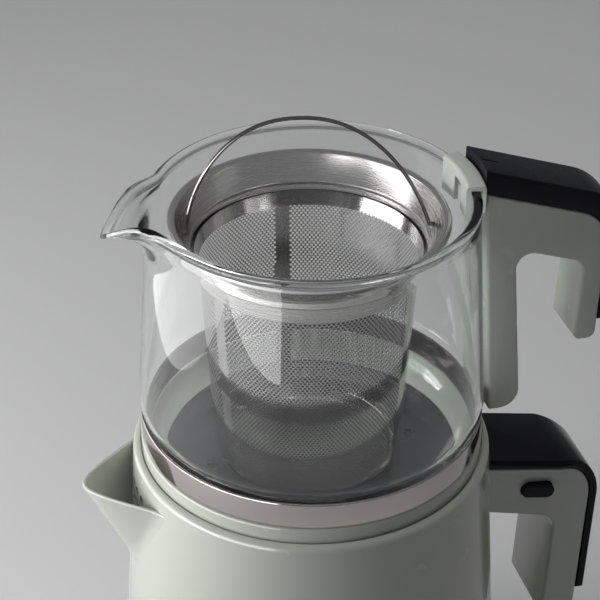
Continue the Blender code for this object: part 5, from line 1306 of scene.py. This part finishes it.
def lamp(name, size, power, matrix):
    """A soft rectangular lamp, in the studio's frame, that shines along its own -Z."""
    data = bpy.data.lights.new(name, "AREA")
    data.shape = "RECTANGLE"
    data.size, data.size_y = size
    data.energy = power
    item = add(name, data)
    item.matrix_world = STUDIO @ matrix
    item.visible_camera = False
    return item


def standing_lamp(name, turn, place, size, lean, power):
    """A lamp that faces the kettle: side, distance and height after a turn from the camera, and its lean."""
    side, distance, level = place
    return lamp(name, size, power, spin(radians(turn))
                @ shift(side, -distance, level) @ spin(radians(90 + lean), "X"))


def floor():
    bm = bmesh.new()
    bmesh.ops.create_circle(bm, cap_ends=True, segments=96, radius=FLOOR_RADIUS)
    mesh = mesh_from(bm)
    box = Paintbox("floor")
    path = box.tree.nodes.new("ShaderNodeLightPath")
    box.tint(path.outputs["Is Diffuse Ray"], FLOOR_SEEN, FLOOR_LIGHT)
    box.set(Roughness=0.85, Specular_IOR_Level=0.1)
    mesh.materials.append(box.material)
    add("floor", mesh)


def world():
    made = bpy.data.worlds.new("studio")
    bpy.context.scene.world = made
    made.use_nodes = True
    tree = made.node_tree
    path = tree.nodes.new("ShaderNodeLightPath")
    mix = tree.nodes.new("ShaderNodeMixShader")
    tree.links.new(path.outputs["Is Diffuse Ray"], mix.inputs["Fac"])
    tree.links.new(mix.outputs["Shader"], tree.nodes["World Output"].inputs["Surface"])
    for socket, node, strength in ((1, tree.nodes.new("ShaderNodeBackground"), WALL_SEEN),
                                   (2, tree.nodes["Background"], WALL_LIGHT)):
        node.inputs["Color"].default_value = WALL_COLOUR
        node.inputs["Strength"].default_value = strength
        tree.links.new(node.outputs["Background"], mix.inputs[socket])


def studio():
    camera()
    floor()
    world()
    window = standing_lamp("window", *WINDOW, 8.6)
    window.visible_glossy = False
    # the rest only show as reflections: the front one's right edge is the sharp line in the glass
    for glow in (standing_lamp("window_shine", *WINDOW, 1.9),
                 standing_lamp("front_glow", -18.0, (-0.45, 0.44, 0.215), (0.90, 0.30), 17.0, 4.5),
                 standing_lamp("side_glow", -100.0, (0.16, 0.42, 0.205), (0.66, 0.33), 18.0, 1.7)):
        glow.visible_diffuse = False
        glow.visible_transmission = False
    overhead = lamp("overhead", (1.6, 1.6), 19.0, shift(0.0, 0.3, 2.2))
    overhead.visible_glossy = False
    bpy.context.scene.view_settings.view_transform = "Standard"


for build in (base_housing, base_underside, base_fittings, kettle_shell, heating_plate, kettle_handle,
              kettle_lid, glass_pot, teapot_band, teapot_handle, rim_clip, infuser_flange, infuser_basket,
              infuser_bail, rest_of_the_nodes, studio):
    build()
